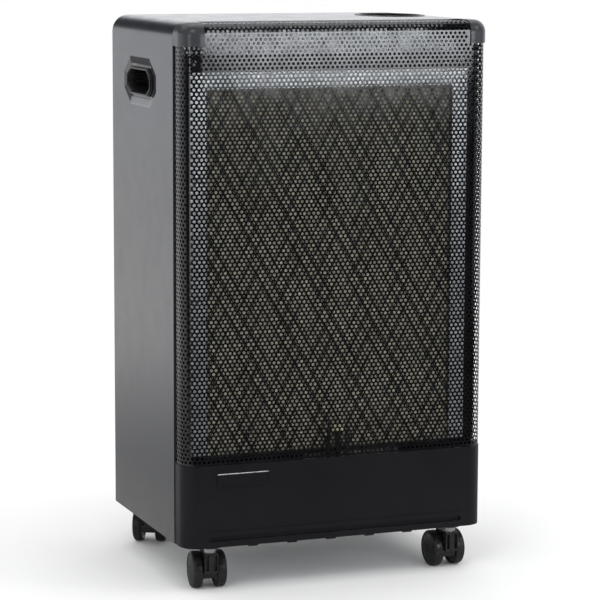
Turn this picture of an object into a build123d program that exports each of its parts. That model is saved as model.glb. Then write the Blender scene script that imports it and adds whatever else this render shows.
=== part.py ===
from build123d import *

import os

# Cabinet gas heater on castors. Millimetres, +Z up, the front faces -Y, +X is its right-hand side
# seen from the front. The origin is on the floor, under the middle of the whole heater.

# ------------------------------------------------------------------ driving dimensions
# cabinet
cabinet_height = 730.0  # floor to the upper face of the top panel
body_width = 421.0
body_bottom = 60.0  # floor to the underside of the cabinet
front_depth = 42.0  # front section, from the front plane back to the seam
shell_depth = 260.0  # steel shell, from the seam back to its rear edge
cover_bulge = 72.0  # how far the rear cover stands out behind the shell
sheet = 1.0  # steel sheet thickness
top_bend_radius = 22.0  # bends between the top panel and the sides
corner_radius = 24.0  # vertical front corners
front_flange = 10.0  # return flange round the front of the shell
rear_flange = 16.0  # return flange round the back of the shell

# front skins: perforated grille, lower panel, plastic corner caps
lower_panel_height = 107.0
lower_panel_sheet = 1.5
lower_panel_inset = 1.0
grille_inset = 2.0
grille_sheet = 0.8
grille_roll_radius = 12.0  # the grille rolls back under the top panel
grille_top_drop = 1.5
# a plain grid of windows stands for the four-millimetre holes and opens the same share of the front
grille_window_columns = 12
grille_window_rows = 16
grille_bar_width = 11.0  # upright bars between the windows
grille_bar_height = 13.0  # level bars between the windows
skin_flange = 10.0  # inward flanges at the back edges of the front skins
skin_gap = 0.5  # grille to lower panel
grille_seam = 3.0  # open seam between the grille and the shell
panel_seam = 1.5
cap_seam = 0.8
cap_height = 30.0
cap_length = 28.5
cap_wall = 1.6
cap_front_radius = 16.0
cap_grip = 6.0  # how far the grille reaches up under the caps
cap_peg_radius = 2.0
cap_peg_length = 6.0
cap_peg_inset = 5.0  # from the cabinet side to the peg
cap_peg_clearance = 0.2

# pressed lines of the lower panel
crease_above_bottom = 21.5
crease_height = 3.0
crease_depth = 0.8
slot_above_bottom = 11.0
slot_height = 6.5
slot_depth = 4.0
groove_end_margin = 34.0
tab_count = 5
tab_pitch = 54.0
tab_width = 14.0
tab_drop = 1.6
tab_row_offset = -9.0

# blank nameplate
nameplate_width = 71.0
nameplate_height = 18.0
nameplate_thickness = 0.9
nameplate_rim = 1.2
nameplate_recess = 0.4
nameplate_corner = 2.0
nameplate_from_left = 44.5
nameplate_from_panel_top = 11.0

# handle recess in each side
handle_from_front = 179.0
handle_from_top = 82.5
dish_length = 138.0
dish_height = 61.0
dish_depth = 3.0
dish_slope = 10.0
dish_corner = 28.0  # length cut off each end by the dish's angled corners
dish_end_height = 22.0
cup_setback = 3.0  # the cup sits this far behind the dish's middle
cup_length = 101.0
cup_height = 35.0
cup_wall = 2.5
cup_depth = 30.0
cup_proud = 2.0
cup_corner = 15.0
cup_round = 5.0
cup_end_height = 15.0
cup_lip = 1.0
cup_lip_thickness = 1.5
cup_rib = 1.5
cup_rib_heights = (8.0, -2.0)
cup_fit = 0.2

# control bay in the top panel
bay_from_side = 62.5
bay_from_front = 191.0
bay_length = 116.0
bay_width = 76.0
bay_depth = 24.0
bay_wall = 2.0
bay_lip = 4.0
bay_lip_thickness = 0.8
bay_fit = 0.3
knob_offset = -18.0
knob_diameter = 46.0
knob_skirt = 4.0
knob_grip_diameter = 38.0
knob_grip_width = 13.0
knob_top_drop = 1.0
knob_shoulder = 8.7  # height of the skirt's dish beside the grip
knob_edge = 1.0
knob_travel = 3.0
knob_clearance = 0.6
piezo_offset = 34.0
piezo_diameter = 18.0
piezo_length = 46.0
piezo_nut_diameter = 26.0
piezo_nut_thickness = 4.0
piezo_button_diameter = 12.0
piezo_button_height = 9.0
piezo_travel = 4.0
piezo_button_stem = 14.0
piezo_button_clearance = 0.25
piezo_edge = 1.0

# valve under the control bay
valve_bracket_sheet = 1.5
valve_bracket_width = 56.0
valve_cheek = 19.0  # bracket cheeks down each side of the valve
valve_width = 32.0
valve_height = 38.0
valve_front = 26.0
valve_rear = 32.0
valve_corner = 4.0
gas_outlet_drop = 17.0
pilot_outlet_drop = 28.5
pilot_outlet_shift = 9.6
spindle_radius = 4.0
spindle_reach = 10.5  # into the knob
spindle_seat = 19.0  # into the valve
spindle_end_gap = 0.5
spindle_clearance = 1.0  # in the bay floor and the bracket
shaft_clearance = 0.05
nozzle_from_rear = 11.0
nozzle_hex = 14.0
nozzle_hex_height = 8.0
nozzle_radius = 4.5
nozzle_length = 22.0
nozzle_tip = 0.8
nozzle_bore_radius = 2.5

# burner, measured back from the front plane
frame_depth = 30.0
frame_side_margin = 19.5
frame_bottom_margin = 8.0
frame_top_margin = 64.0
frame_band = 21.0
guard_foot_margin = 2.0  # the frame is open at the foot, where the guard runs on down
guard_depth = 4.0
guard_rim = 3.0
guard_wire = 1.8
guard_diamond_width = 57.0
guard_diamond_height = 100.0
guard_overlap = 0.36  # how far crossing wires sink into each other where they are welded
guard_overrun = 10.0
pad_thickness = 12.0
plenum_depth = 12.0
tray_flange = 12.0
tray_wall_cover = 4.0  # frame band over the tray's own wall
diffuser_fit = 0.5
diffuser_columns = 7
diffuser_rows = 9
diffuser_hole_radius = 4.0
ledge = 12.0
bulkhead_top_margin = 43.0
bulkhead_flange = 12.0
shield_depth = 68.0
inner_fit = 0.5

# pilot group in front of the burner's lower edge
shelf_drop = 17.0  # shelf below the burner frame
shelf_left = -34.0
shelf_right = 101.0
shelf_reach = 20.0
shelf_upstand = 12.0
pilot_x = 8.0
pilot_from_front = 22.0
pilot_radius = 4.0
pilot_height = 44.0
pilot_hood = 15.0
pilot_hood_depth = 6.4
pilot_hood_height = 9.0
pilot_hood_rise = 3.0
probe_pitch = 13.0
electrode_radius = 3.0
electrode_height = 38.0
electrode_tip = 9.0
electrode_tip_radius = 0.9
thermocouple_radius = 2.5
thermocouple_height = 42.0
probe_nut = 5.0
probe_nut_rim = 2.0

# gas lines
gas_pipe_radius = 3.0
pilot_pipe_radius = 2.0
pipe_bend = 10.0
pipe_hole_clearance = 1.5
pipe_run_inset = 21.0
pilot_run_inset = 29.5
gas_run_depth = 54.0
pilot_run_depth = 47.0
gas_run_bottom = 50.0
pilot_run_bottom = 36.0
pipe_insertion = 8.0
injector_x = 110.0
injector_radius = 8.0
injector_bore = 5.0
injector_nut = 20.0
injector_nut_height = 10.0
injector_length = 58.0
injector_wall = 4.0
injector_air_radius = 2.5
injector_air_height = 18.0

# base and rear cover
base_sheet = 1.2
base_upstand = 18.0
base_slot_count = 6
base_slot_length = 60.0
base_slot_width = 8.0
base_slot_pitch = 34.0
base_slot_spacing = 72.0
base_vent_radius = 8.0  # under the hose nozzle, so that leaking gas sinks out
cover_margin = 4.0
cover_corner = 18.0
bulge_side_margin = 36.0
bulge_bottom_margin = 32.0
bulge_top_margin = 48.0
bulge_side_draft = 52.0
bulge_end_draft = 44.0
bulge_corner = 40.0
louvre_count = 5
louvre_length = 72.0
louvre_width = 5.0
louvre_pitch = 14.0
louvre_from_end = 36.0
louvre_spacing = 92.0
pin_radius = 3.0
pin_length = 14.0
pin_hole_clearance = 0.4
pin_beside_castor = 19.0  # the pins stand this far inside the rear castors
pin_above_base = 9.0
pin_tip = 1.0
catch_span = 130.0
catch_from_top = 9.0
catch_radius = 7.0
catch_mouth_radius = 5.0
catch_length = 12.0
stud_radius = 2.5
stud_ball_radius = 3.2
stud_length = 11.0
stud_clearance = 0.5

# castors
castor_from_side = 41.5
castor_from_front = 21.0
castor_from_rear = 18.0
castor_trail = 18.0
wheel_radius = 24.0
wheel_width = 14.0
wheel_spacing = 33.0
wheel_dome = 2.0
wheel_edge = 2.5
wheel_hub = 12.0
wheel_bore_depth = 11.0
wheel_side_gap = 0.5
axle_radius = 3.0
hood_radius = 20.5
hood_bottom = 15.0
hood_top = 50.0
hood_boss_front = 9.5  # in front of the stem
hood_boss_rear = 22.0  # behind the stem
hood_rib = 7.0  # rib in front of the stem, between two hollows
hood_wall = 1.5
hood_hollow = 4.0  # depth of the hollows
hood_hollow_bottom = 27.0
hood_hollow_top = 47.0
stem_radius = 4.0
stem_collar_radius = 8.0
stem_gap = 0.3
stem_seat_depth = 12.0
socket_radius = 9.0
socket_flange_radius = 14.0
socket_flange = 3.0
socket_height = 24.0
socket_roof = 2.0
press_clearance = 0.02
overcut = 1.0  # cuts run this far past the faces that they open
# how each castor happens to stand, in degrees about its stem
castor_turn = {"front_left": -6.0, "front_right": 2.0, "rear_left": -28.0, "rear_right": 12.0}

# screws
screw_radius = 2.0
screw_head_radius = 4.0
screw_head_height = 2.2
screw_length = 8.0
screw_clearance = 0.2
bulkhead_screw_inset = 9.0
bulkhead_screw_from_side = 25.5

# ------------------------------------------------------------------ derived planes
half_width = body_width / 2
total_depth = front_depth + shell_depth + cover_bulge
front_y = -total_depth / 2
seam_y = front_y + front_depth
shell_rear_y = seam_y + shell_depth
cover_y = total_depth / 2
inner_half = half_width - sheet
panel_top = body_bottom + lower_panel_height
cap_bottom = cabinet_height - cap_height
cap_inner_x = half_width - cap_length
cap_peg = (half_width - cap_peg_inset, cap_bottom + cap_height / 2)
bulkhead_half = half_width - grille_inset - skin_flange - inner_fit

frame_y = front_y + frame_depth
guard_y = frame_y + sheet
pad_y = guard_y + guard_depth
bulkhead_y = pad_y + sheet
diffuser_y = pad_y + pad_thickness
tray_rear_y = diffuser_y + sheet + plenum_depth
shield_y = front_y + shield_depth
frame_half = half_width - frame_side_margin
frame_bottom = panel_top + frame_bottom_margin
frame_top = cabinet_height - frame_top_margin
tray_half = frame_half - frame_band + tray_wall_cover
tray_bottom = frame_bottom + frame_band - tray_wall_cover
tray_top = frame_top - frame_band + tray_wall_cover
guard_bottom = panel_top + guard_foot_margin
bulkhead_top = cabinet_height - bulkhead_top_margin
base_top = body_bottom + base_sheet

bay_x = half_width - bay_from_side
bay_y = front_y + bay_from_front
bay_floor = cabinet_height - bay_depth
knob_y = bay_y + knob_offset
piezo_y = bay_y + piezo_offset
bracket_top = bay_floor - bay_wall
valve_top = bracket_top - valve_bracket_sheet
valve_bottom = valve_top - valve_height
knob_bottom = bay_floor + knob_travel + knob_clearance
knob_top = cabinet_height - knob_top_drop
gas_outlet = (bay_x, knob_y - valve_front, valve_top - gas_outlet_drop)
pilot_outlet = (bay_x - pilot_outlet_shift, knob_y - valve_front, valve_top - pilot_outlet_drop)
shelf_z = frame_bottom - shelf_drop
pilot_y = front_y + pilot_from_front

castor_places = {
    "front_left": (-half_width + castor_from_side, front_y + castor_from_front),
    "front_right": (half_width - castor_from_side, front_y + castor_from_front),
    "rear_left": (-half_width + castor_from_side, shell_rear_y - castor_from_rear),
    "rear_right": (half_width - castor_from_side, shell_rear_y - castor_from_rear),
}


# ------------------------------------------------------------------ helpers
def block(x0, x1, y0, y1, z0, z1):
    """A box between two corners."""
    return Pos((x0 + x1) / 2, (y0 + y1) / 2, (z0 + z1) / 2) * Box(x1 - x0, y1 - y0, z1 - z0)


def rod(radius, length, place):
    """A cylinder that starts at a location and runs along its Z axis."""
    return place * Cylinder(radius, length, align=(Align.CENTER, Align.CENTER, Align.MIN))


def upward(x, y, z):
    return Pos(x, y, z)


def downward(x, y, z):
    return Pos(x, y, z) * Rot(180, 0, 0)


def rearward(x, y, z):
    return Pos(x, y, z) * Rot(-90, 0, 0)


def forward(x, y, z):
    return Pos(x, y, z) * Rot(90, 0, 0)


def both_sides(part):
    """The part and its mirror image in the heater's middle plane."""
    return part + mirror(part, Plane.YZ)


def extrude_y(profile, y0, y1):
    """Extrudes a profile drawn as (x, z) from y0 to y1."""
    plane = Plane(origin=(0, y0, 0), x_dir=(1, 0, 0), z_dir=(0, -1, 0))
    return extrude(plane * profile, amount=-(y1 - y0))


def extrude_x(profile, x0, x1):
    """Extrudes a profile drawn as (y, z) from x0 to x1."""
    plane = Plane(origin=(x0, 0, 0), x_dir=(0, 1, 0), z_dir=(1, 0, 0))
    return extrude(plane * profile, amount=x1 - x0)


def plate_ring(half, bottom, top, band, y0, y1):
    """A flat rectangular ring that stands across the cabinet."""
    outer = block(-half, half, y0, y1, bottom, top)
    return outer - block(-half + band, half - band, y0 - overcut, y1 + overcut, bottom + band, top - band)


def tube(points, radius):
    """A bent tube along straight runs joined by tangent arcs."""
    path = FilletPolyline(*points, radius=pipe_bend)
    start = Plane(origin=path @ 0, z_dir=path % 0)
    return sweep(start * Circle(radius), path=path)


def screw(place, length):
    """A domed screw: the place is under its head, the shank runs along the place's Z."""
    head = rod(screw_head_radius, screw_head_height, downward(0, 0, 0))
    head = fillet(head.edges().sort_by(Axis.Z)[:1], 0.6 * screw_head_height)
    return place * (head + rod(screw_radius, length, upward(0, 0, 0)))


# ------------------------------------------------------------------ steel shell
def shell_profile(shrink):
    """The shell's outline in (x, z), drawn in by a distance; it stays open at the bottom."""
    bottom = body_bottom - (1 if shrink else 0)
    top = cabinet_height - shrink
    outline = Pos(0, (bottom + top) / 2) * Rectangle(2 * (half_width - shrink), top - bottom)
    return fillet(outline.vertices().sort_by(Axis.Y)[-2:], max(top_bend_radius - shrink, 1))


def octagon(length, height, corner, end_height):
    """An elongated octagon in a plane's own axes."""
    x, y = length / 2, height / 2
    quarter = [(x, end_height / 2), (x - corner, y)]
    left = [(-a, b) for a, b in reversed(quarter)]
    lower = [(-a, -b) for a, b in quarter] + [(a, -b) for a, b in reversed(quarter)]
    return make_face(Polyline(*quarter, *left, *lower, close=True))


def handle_plane(depth):
    """The plane of the right-hand handle, at a depth below the side's outer face."""
    origin = (half_width - depth, front_y + handle_from_front, cabinet_height - handle_from_top)
    return Plane(origin=origin, x_dir=(0, 1, 0), z_dir=(1, 0, 0))


def handle_dish(grow, depth):
    """The pressed dish as a solid, grown by a wall and sunk to a depth."""
    def outline(step):
        face = octagon(dish_length, dish_height, dish_corner, dish_end_height)
        return offset(face, step, kind=Kind.INTERSECTION) if step else face

    mouth, floor = handle_plane(0) * outline(grow), handle_plane(depth) * outline(grow - dish_slope)
    return loft([mouth, floor], ruled=True)


def cup_outline(grow):
    outline = octagon(cup_length + 2 * grow, cup_height + 2 * grow, cup_corner, cup_end_height)
    return Pos(cup_setback, 0) * fillet(outline.vertices(), cup_round)


def bay_ellipse(grow):
    return Pos(bay_x, bay_y) * Ellipse(bay_width / 2 + grow, bay_length / 2 + grow)


def make_outer_shell():
    skin = shell_profile(0) - shell_profile(sheet)
    shell = extrude_y(skin, seam_y, shell_rear_y)
    shell += extrude_y(shell_profile(0) - shell_profile(front_flange), seam_y, seam_y + sheet)
    rear = shell_profile(0) - shell_profile(rear_flange)
    shell += extrude_y(rear, shell_rear_y - sheet, shell_rear_y)

    dish = handle_dish(0, dish_depth)
    pressed = handle_dish(sheet, dish_depth + sheet) - dish
    hole = extrude(handle_plane(dish_depth + 2 * sheet) * cup_outline(cup_fit), amount=4 * sheet)
    shell = shell - both_sides(dish) + both_sides(pressed - hole)

    bay_edge = bay_ellipse(bay_wall + bay_fit)
    bay = extrude(Plane.XY.offset(cabinet_height - 2 * sheet) * bay_edge, 3 * sheet)
    x, z = cap_peg
    peg_hole = rod(cap_peg_radius + cap_peg_clearance, 4 * sheet, rearward(x, seam_y - sheet, z))
    return shell - bay - both_sides(peg_hole) - catch_holes() - rear_screw_holes()


def catch_places():
    return [(side * catch_span, cabinet_height - catch_from_top) for side in (-1, 1)]


def catch_holes():
    radius, y = catch_mouth_radius, shell_rear_y + sheet
    return Part() + [rod(radius, 3 * sheet, forward(x, y, z)) for x, z in catch_places()]


def rear_screw_places():
    """Screws that fix the base's rear corners to the shell's rear flange."""
    x = half_width - rear_flange / 2
    return [(side * x, body_bottom + base_upstand / 2) for side in (-1, 1)]


def rear_screw_holes():
    radius, y = screw_radius + screw_clearance, shell_rear_y + sheet
    return Part() + [rod(radius, 4 * sheet, forward(x, y, z)) for x, z in rear_screw_places()]


# ------------------------------------------------------------------ front skins
def front_plan(inset, rear_y):
    """The front section's plan, drawn in from the front plane and the sides."""
    front = front_y + inset
    outline = Pos(0, (front + rear_y) / 2) * Rectangle(2 * (half_width - inset), rear_y - front)
    return fillet(outline.vertices().sort_by(Axis.Y)[:2], max(corner_radius - inset, 1))


def wrapped_skin(inset, thickness, rear_y, bottom, top):
    """A sheet that wraps both front corners and turns in at its back edges."""
    ring = front_plan(inset, rear_y) - front_plan(inset + thickness, rear_y + overcut)
    skin = extrude(Plane.XY.offset(bottom) * ring, top - bottom)
    edge = half_width - inset
    flange = block(edge - skin_flange, edge, rear_y - thickness, rear_y, bottom, top)
    return skin + both_sides(flange)


def make_front_grille():
    rear_y = seam_y - grille_seam
    front = front_y + grille_inset
    bottom = panel_top + skin_gap
    top = cabinet_height - grille_top_drop
    grille = wrapped_skin(grille_inset, grille_sheet, rear_y, bottom, cap_bottom + cap_grip)

    def roll(shrink):
        y0, z1 = front + shrink, top - shrink
        y1, z0 = rear_y + shrink, cap_bottom - shrink
        outline = Pos((y0 + y1) / 2, (z0 + z1) / 2) * Rectangle(y1 - y0, z1 - z0)
        front_top = outline.vertices().sort_by(Axis.Y)[-2:].sort_by(Axis.X)[:1]
        return fillet(front_top, grille_roll_radius - shrink)

    reach = cap_inner_x - skin_gap
    rolled = extrude_x(roll(0) - roll(grille_sheet), -reach, reach)

    flat = half_width - corner_radius
    pitch_x = 2 * flat / grille_window_columns
    pitch_z = (top - grille_roll_radius - bottom) / grille_window_rows
    width, height = pitch_x - grille_bar_width, pitch_z - grille_bar_height
    windows = []
    for column in range(grille_window_columns):
        x = (column + 0.5) * pitch_x - flat
        for row in range(grille_window_rows):
            z = bottom + (row + 0.5) * pitch_z
            windows.append(block(
                x - width / 2, x + width / 2, front - overcut, front + grille_sheet + overcut,
                z - height / 2, z + height / 2,
            ))
    return grille + rolled - windows


def cap_block(shrink, rear_y, inner_x, bottom):
    """The right-hand cap's rounded corner block, drawn in by a wall."""
    x1, y0, z1 = half_width - shrink, front_y + shrink, cabinet_height - shrink
    body = block(inner_x, x1, y0, rear_y, bottom, z1)
    upright = body.edges().filter_by(Axis.Z).filter_by_position(Axis.X, x1 - 0.1, x1 + 0.1)
    body = fillet(upright.sort_by(Axis.Y)[:1], corner_radius - shrink)
    rim = body.edges().filter_by_position(Axis.Z, z1 - 0.1, z1 + 0.1)
    rim = [e for e in rim if e.center().X > inner_x + 0.1 and e.center().Y < rear_y - 0.1]
    return fillet(rim, cap_front_radius - shrink)


def make_corner_cap():
    """The right-hand cap; the left one is its mirror image."""
    rear_y = seam_y - cap_seam
    body = cap_block(0, rear_y, cap_inner_x, cap_bottom)
    hollow = cap_block(cap_wall, rear_y + overcut, cap_inner_x - overcut, cap_bottom - overcut)
    cap = body - hollow
    x, z = cap_peg
    pad = block(
        x - 2 * cap_peg_radius, half_width - 0.5 * cap_wall, rear_y - 2 * cap_wall, seam_y,
        z - 2 * cap_peg_radius, z + 2 * cap_peg_radius,
    )
    return cap + pad + rod(cap_peg_radius, cap_peg_length, rearward(x, seam_y - cap_peg_radius, z))


def make_lower_front_panel():
    rear_y = seam_y - panel_seam
    panel = wrapped_skin(lower_panel_inset, lower_panel_sheet, rear_y, body_bottom, panel_top)
    face = front_y + lower_panel_inset
    end = half_width - groove_end_margin
    slot_z = body_bottom + slot_above_bottom
    crease_z = body_bottom + crease_above_bottom
    backing = slot_depth + lower_panel_sheet
    rim = slot_height / 2 + lower_panel_sheet
    front = face + lower_panel_sheet / 3
    panel += block(-end - rim, end + rim, front, face + backing, slot_z - rim, slot_z + rim)

    def groove(z, height, depth):
        shape = block(-end, end, face - overcut, face + depth, z - height / 2, z + height / 2)
        return fillet(shape.edges().filter_by(Axis.Y), 0.45 * height)

    panel -= groove(slot_z, slot_height, slot_depth)
    panel -= groove(crease_z, crease_height, crease_depth)
    for index in range(tab_count):
        x = tab_row_offset + (index - (tab_count - 1) / 2) * tab_pitch
        tab = block(
            x - tab_width / 2, x + tab_width / 2, face, face + lower_panel_sheet,
            body_bottom - tab_drop, body_bottom + overcut,
        )
        low = [e for e in tab.edges().filter_by(Axis.Y) if e.center().Z < body_bottom]
        panel += fillet(low, 0.9 * tab_drop)
    return panel


def make_nameplate():
    face = front_y + lower_panel_inset
    left = -half_width + nameplate_from_left
    top = panel_top - nameplate_from_panel_top
    plate = block(
        left, left + nameplate_width, face - nameplate_thickness, face,
        top - nameplate_height, top,
    )
    plate = fillet(plate.edges().filter_by(Axis.Y), nameplate_corner)
    sunk = block(
        left + nameplate_rim, left + nameplate_width - nameplate_rim,
        face - nameplate_thickness - overcut, face - nameplate_thickness + nameplate_recess,
        top - nameplate_height + nameplate_rim, top - nameplate_rim,
    )
    return plate - sunk


# ------------------------------------------------------------------ handles
def make_handle_cup():
    """The right-hand finger cup; the left one is its mirror image."""
    length = cup_depth + cup_proud
    cup = extrude(handle_plane(-cup_proud) * cup_outline(0), amount=-length)
    pocket = extrude(handle_plane(-cup_proud) * cup_outline(-cup_wall), amount=-(length - cup_wall))
    lip = extrude(handle_plane(dish_depth) * cup_outline(cup_lip), amount=cup_lip_thickness)
    middle = handle_plane(0).origin
    ribs = Part()
    for height in cup_rib_heights:
        z = middle.Z + height
        for end in (-1, 1):
            y = middle.Y + cup_setback + end * (cup_length / 2 - cup_corner / 2)
            ribs += block(
                half_width - cup_depth, half_width - cup_wall,
                y - cup_corner / 2, y + cup_corner / 2, z - cup_rib / 2, z + cup_rib / 2,
            )
    return cup + lip - pocket + (ribs & cup)


# ------------------------------------------------------------------ control bay and valve
def make_control_bezel():
    """The oval tray sunk into the top panel, with a lip that rests on it."""
    tray = extrude(Plane.XY.offset(bracket_top) * bay_ellipse(bay_wall), bay_depth + bay_wall)
    lip = Plane.XY.offset(cabinet_height) * bay_ellipse(bay_wall + bay_lip)
    tray += extrude(lip, bay_lip_thickness)
    tray -= extrude(Plane.XY.offset(bay_floor) * bay_ellipse(0), bay_depth + 2 * bay_lip_thickness)
    low = bracket_top - bay_wall
    tray -= rod(spindle_radius + spindle_clearance, 3 * bay_wall, upward(bay_x, knob_y, low))
    tray -= rod(piezo_diameter / 2 + screw_clearance, 3 * bay_wall, upward(bay_x, piezo_y, low))
    return tray


def make_control_knob():
    skirt = rod(knob_diameter / 2, knob_skirt, upward(bay_x, knob_y, knob_bottom))
    skirt = chamfer(skirt.edges().sort_by(Axis.Z)[-1:], knob_edge)
    height = knob_top - knob_bottom
    grip = rod(knob_grip_diameter / 2, height, upward(bay_x, knob_y, knob_bottom))
    x0, x1 = bay_x - knob_grip_width / 2, bay_x + knob_grip_width / 2
    shoulder = knob_bottom + knob_shoulder
    y0, y1 = knob_y - knob_diameter, knob_y + knob_diameter
    for low, high in ((bay_x - knob_diameter, x0), (x1, bay_x + knob_diameter)):
        grip -= block(low, high, y0, y1, shoulder, knob_top + knob_edge)
    depth = spindle_reach + spindle_end_gap
    socket = rod(spindle_radius + shaft_clearance, depth, upward(bay_x, knob_y, knob_bottom))
    return skirt + grip - socket


def make_valve_spindle():
    top, bottom = knob_bottom + spindle_reach, valve_top - spindle_seat
    return rod(spindle_radius, top - bottom, upward(bay_x, knob_y, bottom))


def make_piezo_body():
    """The igniter's barrel under the bay floor and its round nut on top, bored for the button."""
    mouth = downward(bay_x, piezo_y, bay_floor + piezo_nut_thickness)
    barrel = rod(piezo_diameter / 2, piezo_length, mouth)
    nut = rod(piezo_nut_diameter / 2, piezo_nut_thickness, upward(bay_x, piezo_y, bay_floor))
    bore = piezo_button_diameter / 2 + piezo_button_clearance
    well = rod(bore, piezo_button_stem + piezo_travel + spindle_end_gap, mouth)
    return fillet((barrel + nut).edges().sort_by(Axis.Z)[-1:], piezo_edge) - well


def make_piezo_button():
    top = bay_floor + piezo_nut_thickness + piezo_button_height
    length = piezo_button_height + piezo_button_stem
    button = rod(piezo_button_diameter / 2, length, downward(bay_x, piezo_y, top))
    return fillet(button.edges().sort_by(Axis.Z)[-1:], piezo_edge)


def make_valve_bracket():
    """A plate under the bay floor with a cheek down each side of the valve."""
    half = valve_bracket_width / 2
    y0, y1 = knob_y - valve_front, knob_y + valve_rear
    plate = block(bay_x - half, bay_x + half, y0, y1, valve_top, bracket_top)
    plate &= extrude(Plane.XY.offset(valve_top) * bay_ellipse(0), valve_bracket_sheet)
    for side in (-1, 1):
        x = bay_x + side * (valve_width / 2 + valve_bracket_sheet / 2)
        x0, x1 = x - valve_bracket_sheet / 2, x + valve_bracket_sheet / 2
        plate += block(x0, x1, y0, y1, valve_top - valve_cheek, valve_top)
    hole = rod(spindle_radius + spindle_clearance, 2 * bay_depth, upward(bay_x, knob_y, valve_bottom))
    return plate - hole


def make_valve_body():
    body = block(
        bay_x - valve_width / 2, bay_x + valve_width / 2, knob_y - valve_front, knob_y + valve_rear,
        valve_bottom, valve_top,
    )
    body = fillet(body.edges().filter_by(Axis.Z), valve_corner)
    depth = spindle_seat + knob_travel + spindle_end_gap
    body -= rod(spindle_radius + shaft_clearance, depth, downward(bay_x, knob_y, valve_top))
    body -= rod(gas_pipe_radius + press_clearance, pipe_insertion, rearward(*gas_outlet))
    body -= rod(pilot_pipe_radius + press_clearance, pipe_insertion, rearward(*pilot_outlet))
    return body


def nozzle_place():
    return bay_x, knob_y + valve_rear - nozzle_from_rear


def make_hose_nozzle():
    x, y = nozzle_place()
    hexagon = RegularPolygon(nozzle_hex / 2, 6, major_radius=False)
    nut = extrude(Pos(x, y, valve_bottom) * hexagon, -nozzle_hex_height)
    root = downward(x, y, valve_bottom - nozzle_hex_height)
    spout = rod(nozzle_radius, nozzle_length, root)
    spout = chamfer(spout.edges().sort_by(Axis.Z)[:1], nozzle_tip)
    return nut + spout - rod(nozzle_bore_radius, 2 * nozzle_length, root)


# ------------------------------------------------------------------ burner
def make_burner_frame():
    """A bright frame round the pad, open at the foot, where the guard runs on down."""
    frame = block(-frame_half, frame_half, frame_y, frame_y + sheet, frame_bottom, frame_top)
    frame += plate_ring(frame_half, frame_bottom, frame_top, sheet, frame_y, bulkhead_y)
    opening_half, foot_half = frame_half - frame_band, tray_half + inner_fit
    frame -= block(
        -opening_half, opening_half, frame_y - overcut, bulkhead_y + overcut,
        frame_bottom - overcut, frame_top - frame_band,
    )
    return frame - block(
        -foot_half, foot_half, guard_y, bulkhead_y + overcut,
        frame_bottom - overcut, frame_bottom + sheet + overcut,
    )


def make_wire_guard():
    """A diamond lattice of two crossing rows of wires, welded into a flat rim."""
    half = tray_half
    rim = plate_ring(half, guard_bottom, tray_top, guard_rim, guard_y, pad_y)
    width, height = 2 * (half - guard_rim), tray_top - guard_bottom - 2 * guard_rim
    middle = (guard_bottom + tray_top) / 2
    rise = height / 2 + guard_overrun
    run = rise * guard_diamond_width / guard_diamond_height  # sideways run of half a wire
    count = int((width / 2 + run) / guard_diamond_width)
    edge = guard_rim / 2
    window = block(-half + edge, half - edge, guard_y, pad_y, guard_bottom + edge, tray_top - edge)
    wires = Part()
    for side in (-1, 1):
        y = (guard_y + pad_y) / 2 + side * (guard_wire - guard_overlap) / 2
        for index in range(-count, count + 1):
            x = index * guard_diamond_width
            low = Vector(x - side * run, y, middle - rise)
            high = Vector(x + side * run, y, middle + rise)
            along = high - low
            wire = extrude(Plane(origin=low, z_dir=along) * Circle(guard_wire / 2), along.length)
            wires += wire & window
    return rim + wires


def make_catalytic_pad():
    inset = sheet + diffuser_fit
    return block(
        -tray_half + inset, tray_half - inset, pad_y, diffuser_y, tray_bottom + inset, tray_top - inset
    )


def make_diffuser():
    inset = sheet + diffuser_fit
    plate = block(
        -tray_half + inset, tray_half - inset, diffuser_y, diffuser_y + sheet,
        tray_bottom + inset, tray_top - inset,
    )
    pitch_x = 2 * tray_half / (diffuser_columns + 1)
    pitch_z = (tray_top - tray_bottom) / (diffuser_rows + 1)
    for column in range(1, diffuser_columns + 1):
        for row in range(1, diffuser_rows + 1):
            x, z = -tray_half + column * pitch_x, tray_bottom + row * pitch_z
            plate -= rod(diffuser_hole_radius, 3 * sheet, rearward(x, diffuser_y - sheet, z))
    return plate


def make_gas_tray():
    """The gas tray: a flanged pan with ledges in its corners that carry the diffuser."""
    pan = block(-tray_half, tray_half, pad_y, tray_rear_y + sheet, tray_bottom, tray_top)
    pan -= block(
        -tray_half + sheet, tray_half - sheet, pad_y - overcut, tray_rear_y,
        tray_bottom + sheet, tray_top - sheet,
    )
    flange = plate_ring(
        tray_half + tray_flange, tray_bottom - tray_flange, tray_top + tray_flange,
        tray_flange + 0.5 * sheet, pad_y, bulkhead_y,
    )
    pan += flange
    for side in (-1, 1):
        for z in (tray_bottom + ledge / 2, tray_top - ledge / 2):
            x = side * (tray_half - ledge / 2)
            pan += block(
                x - ledge / 2, x + ledge / 2, diffuser_y + sheet, tray_rear_y + sheet,
                z - ledge / 2, z + ledge / 2,
            )
    y = front_y + gas_run_depth
    return pan - rod(injector_bore, 3 * sheet, upward(injector_x, y, tray_bottom - sheet))


def bulkhead_screw_places():
    x = half_width - bulkhead_screw_from_side
    heights = (panel_top - bulkhead_screw_inset, bulkhead_top - bulkhead_screw_inset)
    return [(side * x, z) for side in (-1, 1) for z in heights]


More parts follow.
